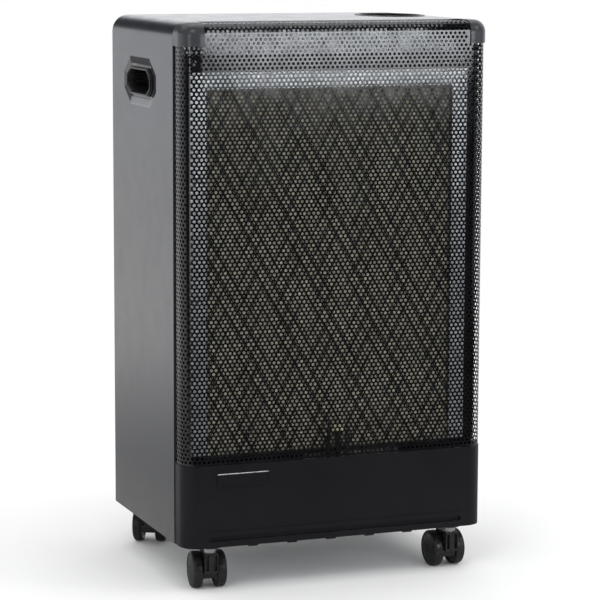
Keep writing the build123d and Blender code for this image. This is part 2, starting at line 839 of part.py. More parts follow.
def make_front_bulkhead():
    """The plate that carries the burner; its ears lie behind the shell's front flange."""
    half = bulkhead_half
    ear_half = inner_half - base_sheet - inner_fit
    ear_y = seam_y + sheet
    plate = block(-half, half, bulkhead_y, bulkhead_y + sheet, base_top, bulkhead_top)
    wall = block(half - sheet, half, bulkhead_y, ear_y + sheet, base_top, bulkhead_top)
    ear = block(half - sheet, ear_half, ear_y, ear_y + sheet, base_top, bulkhead_top)
    plate += both_sides(wall + ear)
    plate -= block(
        -tray_half - inner_fit, tray_half + inner_fit, bulkhead_y - overcut, bulkhead_y + 2 * sheet,
        tray_bottom - inner_fit, tray_top + inner_fit,
    )
    for x, z in bulkhead_screw_places():
        plate -= rod(screw_radius + screw_clearance, 4 * sheet, rearward(x, bulkhead_y - sheet, z))
    hole, z = pilot_pipe_radius + pipe_hole_clearance, body_bottom + pilot_run_bottom
    return plate - rod(hole, 4 * sheet, rearward(pilot_x, bulkhead_y - sheet, z))


def make_heat_shield():
    """The partition between the burner and the bottle, flanged to the sides and the top."""
    outline = shell_profile(sheet)
    trimmed = outline - Pos(0, body_bottom) * Rectangle(2 * body_width, 2 * base_sheet)
    plate = extrude_y(trimmed, shield_y, shield_y + sheet)
    rim = trimmed - shell_profile(2 * sheet)
    plate += extrude_y(rim, shield_y, shield_y + bulkhead_flange)
    edge = inner_half - base_sheet - inner_fit
    plate -= both_sides(block(
        edge, half_width, shield_y - overcut, shield_y + 2 * bulkhead_flange,
        body_bottom - overcut, body_bottom + base_upstand + inner_fit,
    ))
    for outlet, radius in ((gas_outlet, gas_pipe_radius), (pilot_outlet, pilot_pipe_radius)):
        x, _, z = outlet
        plate -= rod(radius + pipe_hole_clearance, 4 * sheet, rearward(x, shield_y - sheet, z))
    return plate


# ------------------------------------------------------------------ gas lines and pilot
def make_gas_pipe():
    x, y, z = gas_outlet
    depth = front_y + gas_run_depth
    side = half_width - pipe_run_inset
    low = body_bottom + gas_run_bottom
    points = [
        (x, y + pipe_insertion, z), (x, depth, z), (side, depth, z), (side, depth, low),
        (injector_x, depth, low), (injector_x, depth, tray_bottom - injector_length + pipe_insertion),
    ]
    return tube(points, gas_pipe_radius)


def make_pilot_pipe():
    x, y, z = pilot_outlet
    depth = front_y + pilot_run_depth
    side = half_width - pilot_run_inset
    low = body_bottom + pilot_run_bottom
    points = [
        (x, y + pipe_insertion, z), (x, depth, z), (side, depth, z), (side, depth, low),
        (pilot_x, depth, low), (pilot_x, pilot_y, low), (pilot_x, pilot_y, shelf_z - probe_nut),
    ]
    return tube(points, pilot_pipe_radius)


def make_injector():
    y = front_y + gas_run_depth
    bottom = tray_bottom - injector_length
    mixer = rod(injector_radius, injector_length, upward(injector_x, y, bottom))
    nut = rod(injector_nut / 2, injector_nut_height, upward(injector_x, y, bottom))
    bore = rod(gas_pipe_radius + press_clearance, pipe_insertion, upward(injector_x, y, bottom))
    depth = injector_length - injector_nut_height - injector_wall
    mixing = rod(injector_bore, depth, downward(injector_x, y, tray_bottom))
    start = Pos(injector_x - 2 * injector_radius, y, bottom + injector_air_height)
    air = rod(injector_air_radius, 4 * injector_radius, start * Rot(0, 90, 0))
    return mixer + nut - bore - mixing - air


def probe(radius, height, x):
    """A probe that stands through the shelf, with a nut under it."""
    nut = rod(radius + probe_nut_rim, probe_nut, downward(x, pilot_y, shelf_z))
    return rod(radius, height, upward(x, pilot_y, shelf_z)) + nut


def make_pilot_shelf():
    """The zinc-plated shelf that carries the pilot, the electrode and the thermocouple."""
    rear, low = bulkhead_y, shelf_z - sheet
    shelf = block(shelf_left, shelf_right, rear - shelf_reach, rear, low, shelf_z)
    shelf += block(shelf_left, shelf_right, rear - sheet, rear, low, shelf_z + shelf_upstand)
    for x, radius in pilot_probes():
        hole = radius + probe_nut_rim + screw_clearance
        shelf -= rod(hole, 4 * sheet, upward(x, pilot_y, low - sheet))
    return shelf


def pilot_probes():
    return (
        (pilot_x, pilot_radius),
        (pilot_x + probe_pitch, electrode_radius),
        (pilot_x - probe_pitch, thermocouple_radius),
    )


def make_pilot_burner():
    burner = probe(pilot_radius, pilot_height, pilot_x)
    top = shelf_z + pilot_height + pilot_hood_rise
    burner += block(
        pilot_x - pilot_hood / 2, pilot_x + pilot_hood / 2,
        pilot_y - pilot_hood_depth / 2, pilot_y + pilot_hood_depth / 2,
        top - pilot_hood_height, top,
    )
    bore = pilot_pipe_radius + press_clearance
    return burner - rod(bore, probe_nut, downward(pilot_x, pilot_y, shelf_z))


def make_spark_electrode():
    x = pilot_x + probe_pitch
    tip = rod(electrode_tip_radius, electrode_tip, upward(x, pilot_y, shelf_z + electrode_height))
    return probe(electrode_radius, electrode_height, x) + tip


def make_thermocouple():
    sensor = probe(thermocouple_radius, thermocouple_height, pilot_x - probe_pitch)
    return fillet(sensor.edges().sort_by(Axis.Z)[-1:], 0.8 * thermocouple_radius)


# ------------------------------------------------------------------ base, rear cover
def make_base_tray():
    half = inner_half
    rear = shell_rear_y - sheet
    floor = block(-half, half, seam_y + sheet, rear, body_bottom, base_top)
    nose_half = half - front_flange - inner_fit
    nose = block(
        -nose_half, nose_half, front_y + lower_panel_inset + lower_panel_sheet, seam_y + 2 * sheet,
        body_bottom, base_top,
    )
    front_corners = nose.edges().filter_by(Axis.Z).sort_by(Axis.Y)[:2]
    pan = floor + fillet(front_corners, corner_radius - front_flange)
    side = block(half - base_sheet, half, seam_y + sheet, rear, body_bottom, body_bottom + base_upstand)
    pan += both_sides(side)
    pan += block(-half, half, rear - base_sheet, rear, body_bottom, body_bottom + base_upstand)
    for x, y in castor_places.values():
        pan -= rod(socket_radius + cup_fit, 4 * base_sheet, upward(x, y, body_bottom - base_sheet))
    for index in range(base_slot_count):
        y = (seam_y + shell_rear_y) / 2 + (index - (base_slot_count - 1) / 2) * base_slot_pitch
        for x in (-base_slot_spacing / 2, base_slot_spacing / 2):
            slot = SlotOverall(base_slot_length, base_slot_width)
            pan -= extrude(Pos(x, y, body_bottom - overcut) * slot, 3 * base_sheet)
    x, y = nozzle_place()
    pan -= rod(base_vent_radius, 4 * base_sheet, upward(x, y, body_bottom - base_sheet))
    for x, z in cover_pin_places():
        pan -= rod(pin_radius + pin_hole_clearance, 4 * base_sheet, forward(x, shell_rear_y, z))
    radius = screw_radius + screw_clearance
    for x, z in rear_screw_places():
        pan -= rod(radius, 6 * base_sheet, forward(x, shell_rear_y, z))
    return pan


def cover_pin_places():
    x = half_width - castor_from_side - pin_beside_castor
    return [(side * x, body_bottom + pin_above_base) for side in (-1, 1)]


def bulge(shrink, reach):
    """The cover's swollen middle as a solid, drawn in by a wall."""
    width = body_width - 2 * bulge_side_margin
    bottom, top = body_bottom + bulge_bottom_margin, cabinet_height - bulge_top_margin
    height, middle = top - bottom, (top + bottom) / 2

    def section(y, side_cut, end_cut):
        plane = Plane(origin=(0, y, middle), x_dir=(1, 0, 0), z_dir=(0, -1, 0))
        return plane * RectangleRounded(
            width - 2 * side_cut - 2 * shrink, height - 2 * end_cut - 2 * shrink, bulge_corner - shrink
        )

    return loft([section(shell_rear_y, 0, 0), section(reach, bulge_side_draft, bulge_end_draft)])


def make_rear_cover():
    half = half_width - cover_margin
    bottom, top = body_bottom + cover_margin, cabinet_height - cover_margin
    outline = Pos(0, (bottom + top) / 2) * RectangleRounded(2 * half, top - bottom, cover_corner)
    cover = extrude_y(outline, shell_rear_y, shell_rear_y + sheet)
    cover = cover + bulge(0, cover_y) - bulge(sheet, cover_y - sheet)
    low = body_bottom + bulge_bottom_margin + bulge_end_draft + louvre_from_end
    high = cabinet_height - bulge_top_margin - bulge_end_draft - louvre_from_end
    for index in range(louvre_count):
        for z in (low + index * louvre_pitch, high - index * louvre_pitch):
            for x in (-louvre_spacing / 2, louvre_spacing / 2):
                slot = Pos(x, z) * SlotOverall(louvre_length, louvre_width)
                cover -= extrude_y(slot, cover_y - 4 * sheet, cover_y + sheet)
    return cover


def make_cover_pins():
    start = shell_rear_y
    pins = []
    for x, z in cover_pin_places():
        pin = rod(pin_radius, pin_length, forward(x, start, z))
        pins.append(chamfer(pin.edges().sort_by(Axis.Y)[:1], pin_tip))
    return Part() + pins


def make_cover_studs():
    studs = []
    for x, z in catch_places():
        neck = rod(stud_radius, stud_length - stud_ball_radius, forward(x, shell_rear_y, z))
        ball = Pos(x, shell_rear_y - stud_length + stud_ball_radius, z) * Sphere(stud_ball_radius)
        studs.append(neck + ball)
    return Part() + studs


def make_cover_catches():
    """Spring sockets behind the shell's rear flange, which the cover's studs snap into."""
    rear = shell_rear_y - sheet
    catches = []
    for x, z in catch_places():
        sleeve = rod(catch_radius, catch_length, forward(x, rear, z))
        radius = stud_ball_radius + stud_clearance
        bore = rod(radius, catch_length + 2 * sheet, forward(x, rear + sheet, z))
        catches.append(sleeve - bore)
    return Part() + catches


# ------------------------------------------------------------------ castors
def make_castor_sockets():
    sockets = []
    for x, y in castor_places.values():
        sleeve = rod(socket_radius, socket_height, upward(x, y, body_bottom))
        flange = rod(socket_flange_radius, socket_flange, downward(x, y, body_bottom))
        bore_length = socket_height - socket_roof + socket_flange
        bottom = body_bottom - socket_flange
        bore = rod(stem_radius + shaft_clearance, bore_length, upward(x, y, bottom))
        sockets.append(sleeve + flange - bore)
    return Part() + sockets


def castor_frame(corner):
    x, y = castor_places[corner]
    return Pos(x, y, 0) * Rot(0, 0, castor_turn[corner])


def make_castor_hood(frame):
    """The hood between the two wheels, round about the axle, with a boss for the stem."""
    inner = wheel_spacing / 2 - wheel_width / 2 - wheel_side_gap
    disc = Pos(castor_trail, wheel_radius) * Circle(hood_radius)
    boss_middle = Pos((hood_boss_rear - hood_boss_front) / 2, (wheel_radius + hood_top) / 2)
    boss = boss_middle * Rectangle(hood_boss_rear + hood_boss_front, hood_top - wheel_radius)
    band_middle = Pos(castor_trail, (hood_bottom + hood_top) / 2)
    band = band_middle * Rectangle(4 * hood_radius, hood_top - hood_bottom)
    hood = extrude_x((disc + boss) & band, -inner, inner)
    axle_start = Pos(-2 * inner, castor_trail, wheel_radius) * Rot(0, 90, 0)
    axle_hole = rod(axle_radius + press_clearance, 4 * inner, axle_start)
    stem_hole = rod(stem_radius + press_clearance, hood_top, upward(0, 0, hood_top - stem_seat_depth))
    y0, y1 = -hood_boss_front - hood_wall, hood_hollow - hood_boss_front
    hollow = block(hood_rib / 2, inner - hood_wall, y0, y1, hood_hollow_bottom, hood_hollow_top)
    return frame * (hood - axle_hole - stem_hole - both_sides(hollow))


def make_castor_stem(frame):
    top = body_bottom + socket_height - socket_roof - stem_gap
    bottom = hood_top - stem_seat_depth
    stem = rod(stem_radius, top - bottom, upward(0, 0, bottom))
    collar_height = body_bottom - socket_flange - stem_gap - hood_top
    return frame * (stem + rod(stem_collar_radius, collar_height, upward(0, 0, hood_top)))


def make_castor_axle(frame):
    reach = wheel_spacing / 2 - wheel_width / 2 + wheel_bore_depth - wheel_side_gap
    start = Pos(-reach, castor_trail, wheel_radius) * Rot(0, 90, 0)
    return frame * rod(axle_radius, 2 * reach, start)


def make_castor_wheel(frame, side):
    """A wheel with a domed outer face and a blind bore in its inner face."""
    inner, outer = wheel_spacing / 2 - wheel_width / 2, wheel_spacing / 2 + wheel_width / 2
    tread = [(inner, wheel_radius), (outer - wheel_dome, wheel_radius), (outer, wheel_hub)]
    outline = make_face(Polyline((outer, 0), (inner, 0), *tread, close=True))
    outline = fillet(outline.vertices().sort_by(Axis.Y)[-2:].sort_by(Axis.X)[-1:], wheel_edge)
    outline = fillet(outline.vertices().sort_by(Axis.Y)[:3].sort_by(Axis.Y)[-1:], wheel_hub)
    wheel = revolve(outline, axis=Axis.X)
    wheel -= rod(axle_radius + shaft_clearance, wheel_bore_depth, Pos(inner, 0, 0) * Rot(0, 90, 0))
    wheel = Pos(0, castor_trail, wheel_radius) * wheel
    if side < 0:
        wheel = mirror(wheel, Plane.YZ)
    return frame * wheel


# ------------------------------------------------------------------ screws
def make_bulkhead_screws():
    places = [rearward(x, bulkhead_y, z) for x, z in bulkhead_screw_places()]
    return Part() + [screw(place, screw_length) for place in places]


def make_rear_screws():
    length = sheet + base_sheet
    places = [rearward(x, shell_rear_y - length, z) for x, z in rear_screw_places()]
    return Part() + [screw(place, length) for place in places]


# ------------------------------------------------------------------ all pieces
def all_parts():
    right_cap, right_cup = make_corner_cap(), make_handle_cup()
    parts = {
        "outer_shell": make_outer_shell(),
        "front_grille": make_front_grille(),
        "corner_cap_left": mirror(right_cap, Plane.YZ),
        "corner_cap_right": right_cap,
        "lower_front_panel": make_lower_front_panel(),
        "nameplate": make_nameplate(),
        "handle_cup_left": mirror(right_cup, Plane.YZ),
        "handle_cup_right": right_cup,
        "control_bezel": make_control_bezel(),
        "control_knob": make_control_knob(),
        "valve_spindle": make_valve_spindle(),
        "piezo_igniter": make_piezo_body(),
        "piezo_button": make_piezo_button(),
        "valve_bracket": make_valve_bracket(),
        "gas_valve": make_valve_body(),
        "hose_nozzle": make_hose_nozzle(),
        "burner_frame": make_burner_frame(),
        "wire_guard": make_wire_guard(),
        "catalytic_pad": make_catalytic_pad(),
        "gas_diffuser": make_diffuser(),
        "gas_tray": make_gas_tray(),
        "front_bulkhead": make_front_bulkhead(),
        "heat_shield": make_heat_shield(),
        "gas_pipe": make_gas_pipe(),
        "pilot_pipe": make_pilot_pipe(),
        "injector": make_injector(),
        "pilot_shelf": make_pilot_shelf(),
        "pilot_burner": make_pilot_burner(),
        "spark_electrode": make_spark_electrode(),
        "thermocouple": make_thermocouple(),
        "base_tray": make_base_tray(),
        "rear_cover": make_rear_cover(),
        "cover_pins": make_cover_pins(),
        "cover_studs": make_cover_studs(),
        "cover_catches": make_cover_catches(),
        "castor_sockets": make_castor_sockets(),
        "bulkhead_screws": make_bulkhead_screws(),
        "rear_screws": make_rear_screws(),
    }
    for corner in castor_places:
        frame = castor_frame(corner)
        name = f"castor_{corner}"
        parts[f"{name}_hood"] = make_castor_hood(frame)
        parts[f"{name}_stem"] = make_castor_stem(frame)
        parts[f"{name}_axle"] = make_castor_axle(frame)
        parts[f"{name}_wheel_a"] = make_castor_wheel(frame, -1)
        parts[f"{name}_wheel_b"] = make_castor_wheel(frame, 1)
    return parts


os.makedirs("parts", exist_ok=True)
for part_name, part in all_parts().items():
    export_step(part, f"parts/{part_name}.step")
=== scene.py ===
# %% [markdown]
# A cabinet gas heater on castors, dressed in Blender.
# The steel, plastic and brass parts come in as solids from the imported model, in metres, with the
# floor at z = 0 and the perforated front facing -Y. Most of them keep their shape and only need a
# finish. A few are made again here, because their detail is too fine for the solids: the punched
# front sheet, the diamond wire guard, the fibre pad, the handle cups, the castor wheels and the
# control knob. Only a thin strip of fibre below the pad is added.

# %% Load the heater
from math import atan2, cos, degrees, hypot, pi, radians, sin, tan

import bmesh
import bpy
from mathutils import Matrix, Vector
from mathutils.noise import noise as noise_at


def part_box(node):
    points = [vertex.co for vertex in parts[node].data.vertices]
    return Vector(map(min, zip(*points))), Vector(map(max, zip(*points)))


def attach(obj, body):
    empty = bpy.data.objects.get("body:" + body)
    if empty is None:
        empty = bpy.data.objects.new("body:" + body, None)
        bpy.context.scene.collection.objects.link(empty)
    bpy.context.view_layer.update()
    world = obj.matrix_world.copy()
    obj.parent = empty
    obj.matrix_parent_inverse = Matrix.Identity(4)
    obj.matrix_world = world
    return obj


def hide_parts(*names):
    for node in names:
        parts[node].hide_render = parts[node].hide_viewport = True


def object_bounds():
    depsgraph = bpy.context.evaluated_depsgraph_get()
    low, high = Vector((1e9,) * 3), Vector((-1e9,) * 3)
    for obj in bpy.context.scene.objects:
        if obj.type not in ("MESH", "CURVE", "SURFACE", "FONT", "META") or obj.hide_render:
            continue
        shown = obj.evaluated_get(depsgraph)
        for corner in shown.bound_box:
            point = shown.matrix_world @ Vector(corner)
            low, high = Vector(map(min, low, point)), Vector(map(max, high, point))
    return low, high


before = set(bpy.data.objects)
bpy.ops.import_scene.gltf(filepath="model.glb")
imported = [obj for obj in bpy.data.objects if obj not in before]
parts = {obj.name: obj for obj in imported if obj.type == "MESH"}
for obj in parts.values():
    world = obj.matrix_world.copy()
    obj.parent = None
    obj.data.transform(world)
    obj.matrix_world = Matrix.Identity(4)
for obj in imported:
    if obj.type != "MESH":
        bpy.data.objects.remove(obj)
solid_low, solid_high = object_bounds()
solid_size = solid_high - solid_low
print(len(parts), "solid parts, overall", [round(v, 4) for v in solid_size], "m")

# %% [markdown]
# The camera comes first, because it settles what has to be fine and what can stay simple.
# A long lens far away keeps the cabinet's uprights nearly parallel, as in a catalogue picture.
# The camera could be aimed with a Track To constraint; a plain rotation from three angles is
# easier to read and to change.

# %% Place the camera


def placed(name, data):
    """An object made from its data and put into the scene."""
    item = bpy.data.objects.new(name, data)
    bpy.context.scene.collection.objects.link(item)
    return item


camera_data = bpy.data.cameras.new("catalogue_camera")
camera_data.lens, camera_data.sensor_width = 150.33, 36.0
camera = placed("catalogue_camera", camera_data)
camera.location = (-1.1929, -3.1452, 0.8498)
turn_right, look_down, roll = 0.3675, 0.1484, 0.0040
aim = Matrix.Rotation(-turn_right, 4, "Z") @ Matrix.Rotation(pi / 2 - look_down, 4, "X")
camera.rotation_euler = (aim @ Matrix.Rotation(roll, 4, "Z")).to_euler()
bpy.context.scene.camera = camera
print("lens", camera_data.lens, "mm, looking down", round(degrees(look_down), 1), "degrees")

# %% [markdown]
# Every material is a tree of nodes, and so is the room. Wiring each node by hand would hide the
# idea, so a few helpers add a node, make a step, join two values and mix two colours. Each hands
# back a socket that the next one can take.

# %% Helpers for nodes


def add_node(tree, kind, settings=None):
    """Adds a node and sets the inputs that are given by name."""
    node = tree.nodes.new(kind)
    for key, value in (settings or {}).items():
        node.inputs[key].default_value = value
    return node


def ramp(tree, value, low, high, bottom=0.0, top=1.0, kind="SMOOTHSTEP"):
    """Runs from bottom to top while the value goes from low to high."""
    span = {"From Min": low, "From Max": high, "To Min": bottom, "To Max": top}
    node = add_node(tree, "ShaderNodeMapRange", span)
    node.interpolation_type = kind
    tree.links.new(value, node.inputs["Value"])
    return node.outputs["Result"]


def combined(tree, operation, a, b):
    """Two values joined by an operation, such as MULTIPLY or MAXIMUM."""
    node = add_node(tree, "ShaderNodeMath")
    node.operation = operation
    tree.links.new(a, node.inputs[0])
    tree.links.new(b, node.inputs[1])
    return node.outputs[0]


def times(tree, a, b):
    """One value times another."""
    return combined(tree, "MULTIPLY", a, b)


def mixed(tree, factor, a, b):
    """A colour between two colours; each is a colour or a socket."""
    node = add_node(tree, "ShaderNodeMix")
    node.data_type = "RGBA"
    tree.links.new(factor, node.inputs["Factor"])
    for key, colour in (("A", a), ("B", b)):
        if isinstance(colour, tuple):
            node.inputs[key].default_value = (*colour, 1)
        else:
            tree.links.new(colour, node.inputs[key])
    return node.outputs["Result"]


def axes_of(tree, place):
    """The X, Y and Z of a place or a direction."""
    split = add_node(tree, "ShaderNodeSeparateXYZ")
    tree.links.new(place, split.inputs[0])
    return split.outputs


print("node helpers ready")

# %% [markdown]
# Dark paint and black plastic are mostly seen by what they reflect, so the studio matters as much
# as the paint. Matt surfaces get one even white light from all round. Glossy ones see a real
# studio: white paper behind, darkness in front where the camera stands, and a dark curtain
# behind on the left, which draws the black band along the bend of the top.
# It could be a picture wrapped round the scene; a few nodes that read the direction do the same.

# %% Light the room
world = bpy.data.worlds.new("studio")
bpy.context.scene.world = world
bpy.context.scene.view_settings.view_transform = "Standard"
world.use_nodes = True
room = world.node_tree
room.nodes.clear()
paper, darkness = (0.95, 0.965, 1.0), (0.02, 0.02, 0.022)
even_white, pure_white = (0.95, 0.95, 0.95), (1.0, 1.0, 1.0)
direction = axes_of(room, add_node(room, "ShaderNodeTexCoord").outputs["Generated"])
behind = ramp(room, direction["Y"], -0.25, 0.45)
curtain_edge = ramp(room, direction["X"], 0.0, 0.16, 1, 0)
curtain_foot = ramp(room, direction["Z"], 0.07, 0.17)
curtain_top = ramp(room, direction["Z"], 0.45, 0.65, 1, 0)
curtain = times(room, times(room, curtain_edge, curtain_foot), curtain_top)
mirrored = mixed(room, curtain, mixed(room, behind, darkness, paper), darkness)
ray = add_node(room, "ShaderNodeLightPath").outputs
colour = mixed(room, ray["Is Glossy Ray"], even_white, mirrored)
colour = mixed(room, ray["Is Camera Ray"], colour, pure_white)
backdrop = add_node(room, "ShaderNodeBackground", {"Strength": 1.0})
room.links.new(colour, backdrop.inputs["Color"])
room.links.new(backdrop.outputs[0], add_node(room, "ShaderNodeOutputWorld").inputs["Surface"])
print("world of", len(room.nodes), "nodes")

# %% [markdown]
# Three softboxes high up give the shape some modelling, and one behind runs a sheen over the top.
# A sun lamp would be simpler, but it throws hard shadows.

# %% Set up the softboxes


def softbox(name, place, target, width, height, power):
    """A rectangular lamp at a place, turned towards a target."""
    lamp = bpy.data.lights.new(name, "AREA")
    lamp.shape, lamp.size, lamp.size_y, lamp.energy = "RECTANGLE", width, height, power
    holder = placed(name, lamp)
    holder.location, holder.visible_camera = place, False
    facing = Vector(target) - Vector(place)
    holder.rotation_euler = facing.to_track_quat("-Z", "Y").to_euler()


middle, top_panel = (0, 0, 0.4), (0.0, 0.1, 0.73)
softbox("overhead_box", (0.1, 0.2, 2.6), middle, 1.8, 1.6, 11)
softbox("high_front_left_box", (-1.5, -1.9, 2.5), middle, 0.9, 0.9, 10)
softbox("high_front_right_box", (1.9, -1.5, 2.2), middle, 0.9, 0.9, 8)
softbox("back_box", (1.1, 2.8, 1.2), top_panel, 1.6, 0.8, 1.5)
print(len(bpy.data.lights), "lamps")

# %% [markdown]
# The front is lit by what it mirrors: a low strip on the right that fills the upper half of the
# punched sheet, cut lower corners and all, and two dimmer sheets that draw the bent sides.
# Lit sheets with their own outline do this better than rectangular lamps.

# %% Hang the glowing sheets


def glowing_sheet(name, outline, strength):
    """A lit sheet with its own outline, seen only in reflections."""
    mesh = bpy.data.meshes.new(name)
    mesh.from_pydata(outline, [], [tuple(range(len(outline)))])
    sheet = placed(name, mesh)
    sheet.visible_camera = False
    material = bpy.data.materials.new(name + "_glow")
    material.use_nodes = True
    tree = material.node_tree
    tree.nodes.clear()
    cool_white = (0.93, 0.96, 1.0, 1)
    glow = add_node(tree, "ShaderNodeEmission", {"Color": cool_white, "Strength": strength})
    tree.links.new(glow.outputs[0], add_node(tree, "ShaderNodeOutputMaterial").inputs[0])
    mesh.materials.append(material)


def wall(start, end, low, high):
    """The corners of an upright sheet between two places on the floor."""
    return [(*start, low), (*end, low), (*end, high), (*start, high)]


strip_y = -2.04
strip = [
    (0.40, 0.65), (0.456, 0.606), (0.528, 0.552), (0.99, 0.551),
    (1.052, 0.579), (1.12, 0.63), (1.12, 0.90), (0.40, 0.90),
]
glowing_sheet("front_strip", [(x, strip_y, z) for x, z in strip], 9.0)
glowing_sheet("right_wall", wall((1.6, strip_y), (3.4, -1.2), -0.3, 1.2), 0.6)
glowing_sheet("left_strip", wall((-2.1, -1.3), (-1.9, -1.6), 0.1, 1.2), 3.2)
print("three glowing sheets")

# %% [markdown]
# The floor is a big white disc that only carries the heater's shadow. Away from the heater it
# melts into the white paper, so no horizon shows, and a disc has no edge in view from any side.
# In reflections it is dark in front and close by, where the room and the heater keep light off it.

# %% Lay the floor
floor_mesh = bpy.data.meshes.new("floor")
disc = bmesh.new()
bmesh.ops.create_circle(disc, cap_ends=True, segments=96, radius=6.0)
disc.to_mesh(floor_mesh)
disc.free()
placed("floor", floor_mesh)
print("floor of", len(floor_mesh.vertices), "points")

# %% [markdown]
# The floor's paint is matt white. A real sweep of paper curves up behind the product; here the
# paint turns into plain white light with the distance instead.

# %% Paint the floor
floor_paint = bpy.data.materials.new("floor_paint")
floor_paint.use_nodes = True
paint = floor_paint.node_tree
matt = paint.nodes["Principled BSDF"]
matt.inputs["Roughness"].default_value = 0.9
matt.inputs["Specular IOR Level"].default_value = 0.0
spot = add_node(paint, "ShaderNodeTexCoord").outputs["Object"]
reach = add_node(paint, "ShaderNodeVectorMath")
reach.operation = "LENGTH"
paint.links.new(spot, reach.inputs[0])
distance = reach.outputs["Value"]
ray = add_node(paint, "ShaderNodeLightPath").outputs
in_front = ramp(paint, axes_of(paint, spot)["Y"], -0.9, -0.2, 1, 0)
close_by = ramp(paint, distance, 0.7, 2.2, 0.60, 0)
hidden = times(paint, combined(paint, "MAXIMUM", in_front, close_by), ray["Is Glossy Ray"])
floor_colour = mixed(paint, hidden, (0.96, 0.96, 0.96), darkness)
paint.links.new(floor_colour, matt.inputs["Base Color"])
white_paper = add_node(paint, "ShaderNodeEmission", {"Color": (1, 1, 1, 1), "Strength": 1.0})
far_off = times(paint, ramp(paint, distance, 0.35, 1.1), ray["Is Camera Ray"])
joined = add_node(paint, "ShaderNodeMixShader")
for index, socket in enumerate((far_off, matt.outputs[0], white_paper.outputs[0])):
    paint.links.new(socket, joined.inputs[index])
paint.links.new(joined.outputs[0], paint.nodes["Material Output"].inputs["Surface"])
floor_mesh.materials.append(floor_paint)
print("floor paint of", len(paint.nodes), "nodes")

# %% [markdown]
# Every finish starts as one Principled shader with its plain numbers. Small helpers then add what
# makes a finish look real: clouds of a second tone, uneven gloss, a fine relief, dust that gathers
# low down, and a mark on one patch; the last two also lay painted highlights on an edge and a
# slope. They all read the position on the part, in metres, so a grain of half a millimetre is half
# a millimetre on every piece.

# %% Helpers for finishes


def shader_input(finish, name):
    """A socket of the finish's Principled shader."""
    return finish.node_tree.nodes["Principled BSDF"].inputs[name]


def position(finish):
    """The position on the part."""
    return finish.node_tree.nodes["place"].outputs["Object"]


def new_finish(name, colour, roughness, metallic=0.0, specular=0.5, coat=0.0):
    """A finish with its plain numbers set on the shader's own sockets."""
    finish = bpy.data.materials.new(name)
    finish.use_nodes = True
    shader_input(finish, "Base Color").default_value = (*colour, 1)
    shader_input(finish, "Roughness").default_value = roughness
    shader_input(finish, "Metallic").default_value = metallic
    shader_input(finish, "Specular IOR Level").default_value = specular
    shader_input(finish, "Coat Weight").default_value = coat
    add_node(finish.node_tree, "ShaderNodeTexCoord").name = "place"
    return finish


def noise(finish, scale, detail, stretch=(1, 1, 1)):
    """Noise over the part's own position; stretch draws it out along an axis."""
    tree = finish.node_tree
    spread = add_node(tree, "ShaderNodeMapping", {"Scale": [1 / s for s in stretch]})
    tree.links.new(position(finish), spread.inputs["Vector"])
    cloud = add_node(tree, "ShaderNodeTexNoise", {"Scale": scale, "Detail": detail})
    tree.links.new(spread.outputs[0], cloud.inputs["Vector"])
    return cloud.outputs["Fac"]


def banded(finish, value, low, high, bottom=0.0, top=1.0):
    """A value between low and high, mapped to bottom and top."""
    return ramp(finish.node_tree, value, low, high, bottom, top, "LINEAR")


def tone(finish, value, colour):
    """Mixes another colour over the finish where the value is high."""
    socket = shader_input(finish, "Base Color")
    below = socket.links[0].from_socket if socket.is_linked else tuple(socket.default_value)[:3]
    finish.node_tree.links.new(mixed(finish.node_tree, value, below, colour), socket)


def clouds(finish, colour, scale, detail, low, high, stretch=(1, 1, 1)):
    """Another colour where a noise rises from low to high."""
    tone(finish, banded(finish, noise(finish, scale, detail, stretch), low, high), colour)


def gloss(finish, scale, detail, smooth, dull):
    """Roughness that drifts from smooth to dull with a noise."""
    drift = banded(finish, noise(finish, scale, detail), 0.35, 0.65, smooth, dull)
    finish.node_tree.links.new(drift, shader_input(finish, "Roughness"))


def relief(finish, depth, scale, detail, stretch=(1, 1, 1)):
    """Bump of a real depth in metres; a second one is laid over the first."""
    tree, socket = finish.node_tree, shader_input(finish, "Normal")
    bump = add_node(tree, "ShaderNodeBump", {"Distance": depth})
    if socket.is_linked:
        tree.links.new(socket.links[0].from_socket, bump.inputs["Normal"])
    tree.links.new(noise(finish, scale, detail, stretch), bump.inputs["Height"])
    tree.links.new(bump.outputs[0], socket)


def low_down(finish, low, high):
    """1 at the low height and 0 at the high one, for dust near an edge or a painted highlight along
    one.
    """
    return banded(finish, axes_of(finish.node_tree, position(finish))["Z"], low, high, 1.0, 0.0)


def patch(finish, y_low, y_high, z_low, z_high, soft=0.0006):
    """1 inside a patch of the side between two depths and two heights, 0 outside."""
    tree = finish.node_tree
    axes = axes_of(tree, position(finish))
    steps = []
    for axis, low, high in (("Y", y_low, y_high), ("Z", z_low, z_high)):
        steps.append(banded(finish, axes[axis], low - soft, low + soft))
        steps.append(banded(finish, axes[axis], high + soft, high - soft))
    return times(tree, times(tree, steps[0], steps[1]), times(tree, steps[2], steps[3]))


print("finish helpers ready")

# %% [markdown]
# The cabinet is sheet steel under a satin anthracite powder coat. Powder melts into a very fine
# orange peel, so the relief is low and about two millimetres wide, and the gloss is even with only
# a slight cloudiness. A picture of powder coat could be mapped on; noise never repeats or blurs.

# %% Anthracite powder coat
anthracite = new_finish("anthracite_powder_coat", (0.022, 0.023, 0.028), 0.21, specular=0.75)
clouds(anthracite, (0.027, 0.0285, 0.034), 9, 4, 0.35, 0.7)
floor_dust = times(anthracite.node_tree, low_down(anthracite, 0.06, 0.14), noise(anthracite, 60, 6))
tone(anthracite, floor_dust, (0.10, 0.098, 0.092))
gloss(anthracite, 30, 5, 0.19, 0.25)
relief(anthracite, 0.000012, 420, 2)
print("anthracite ready")
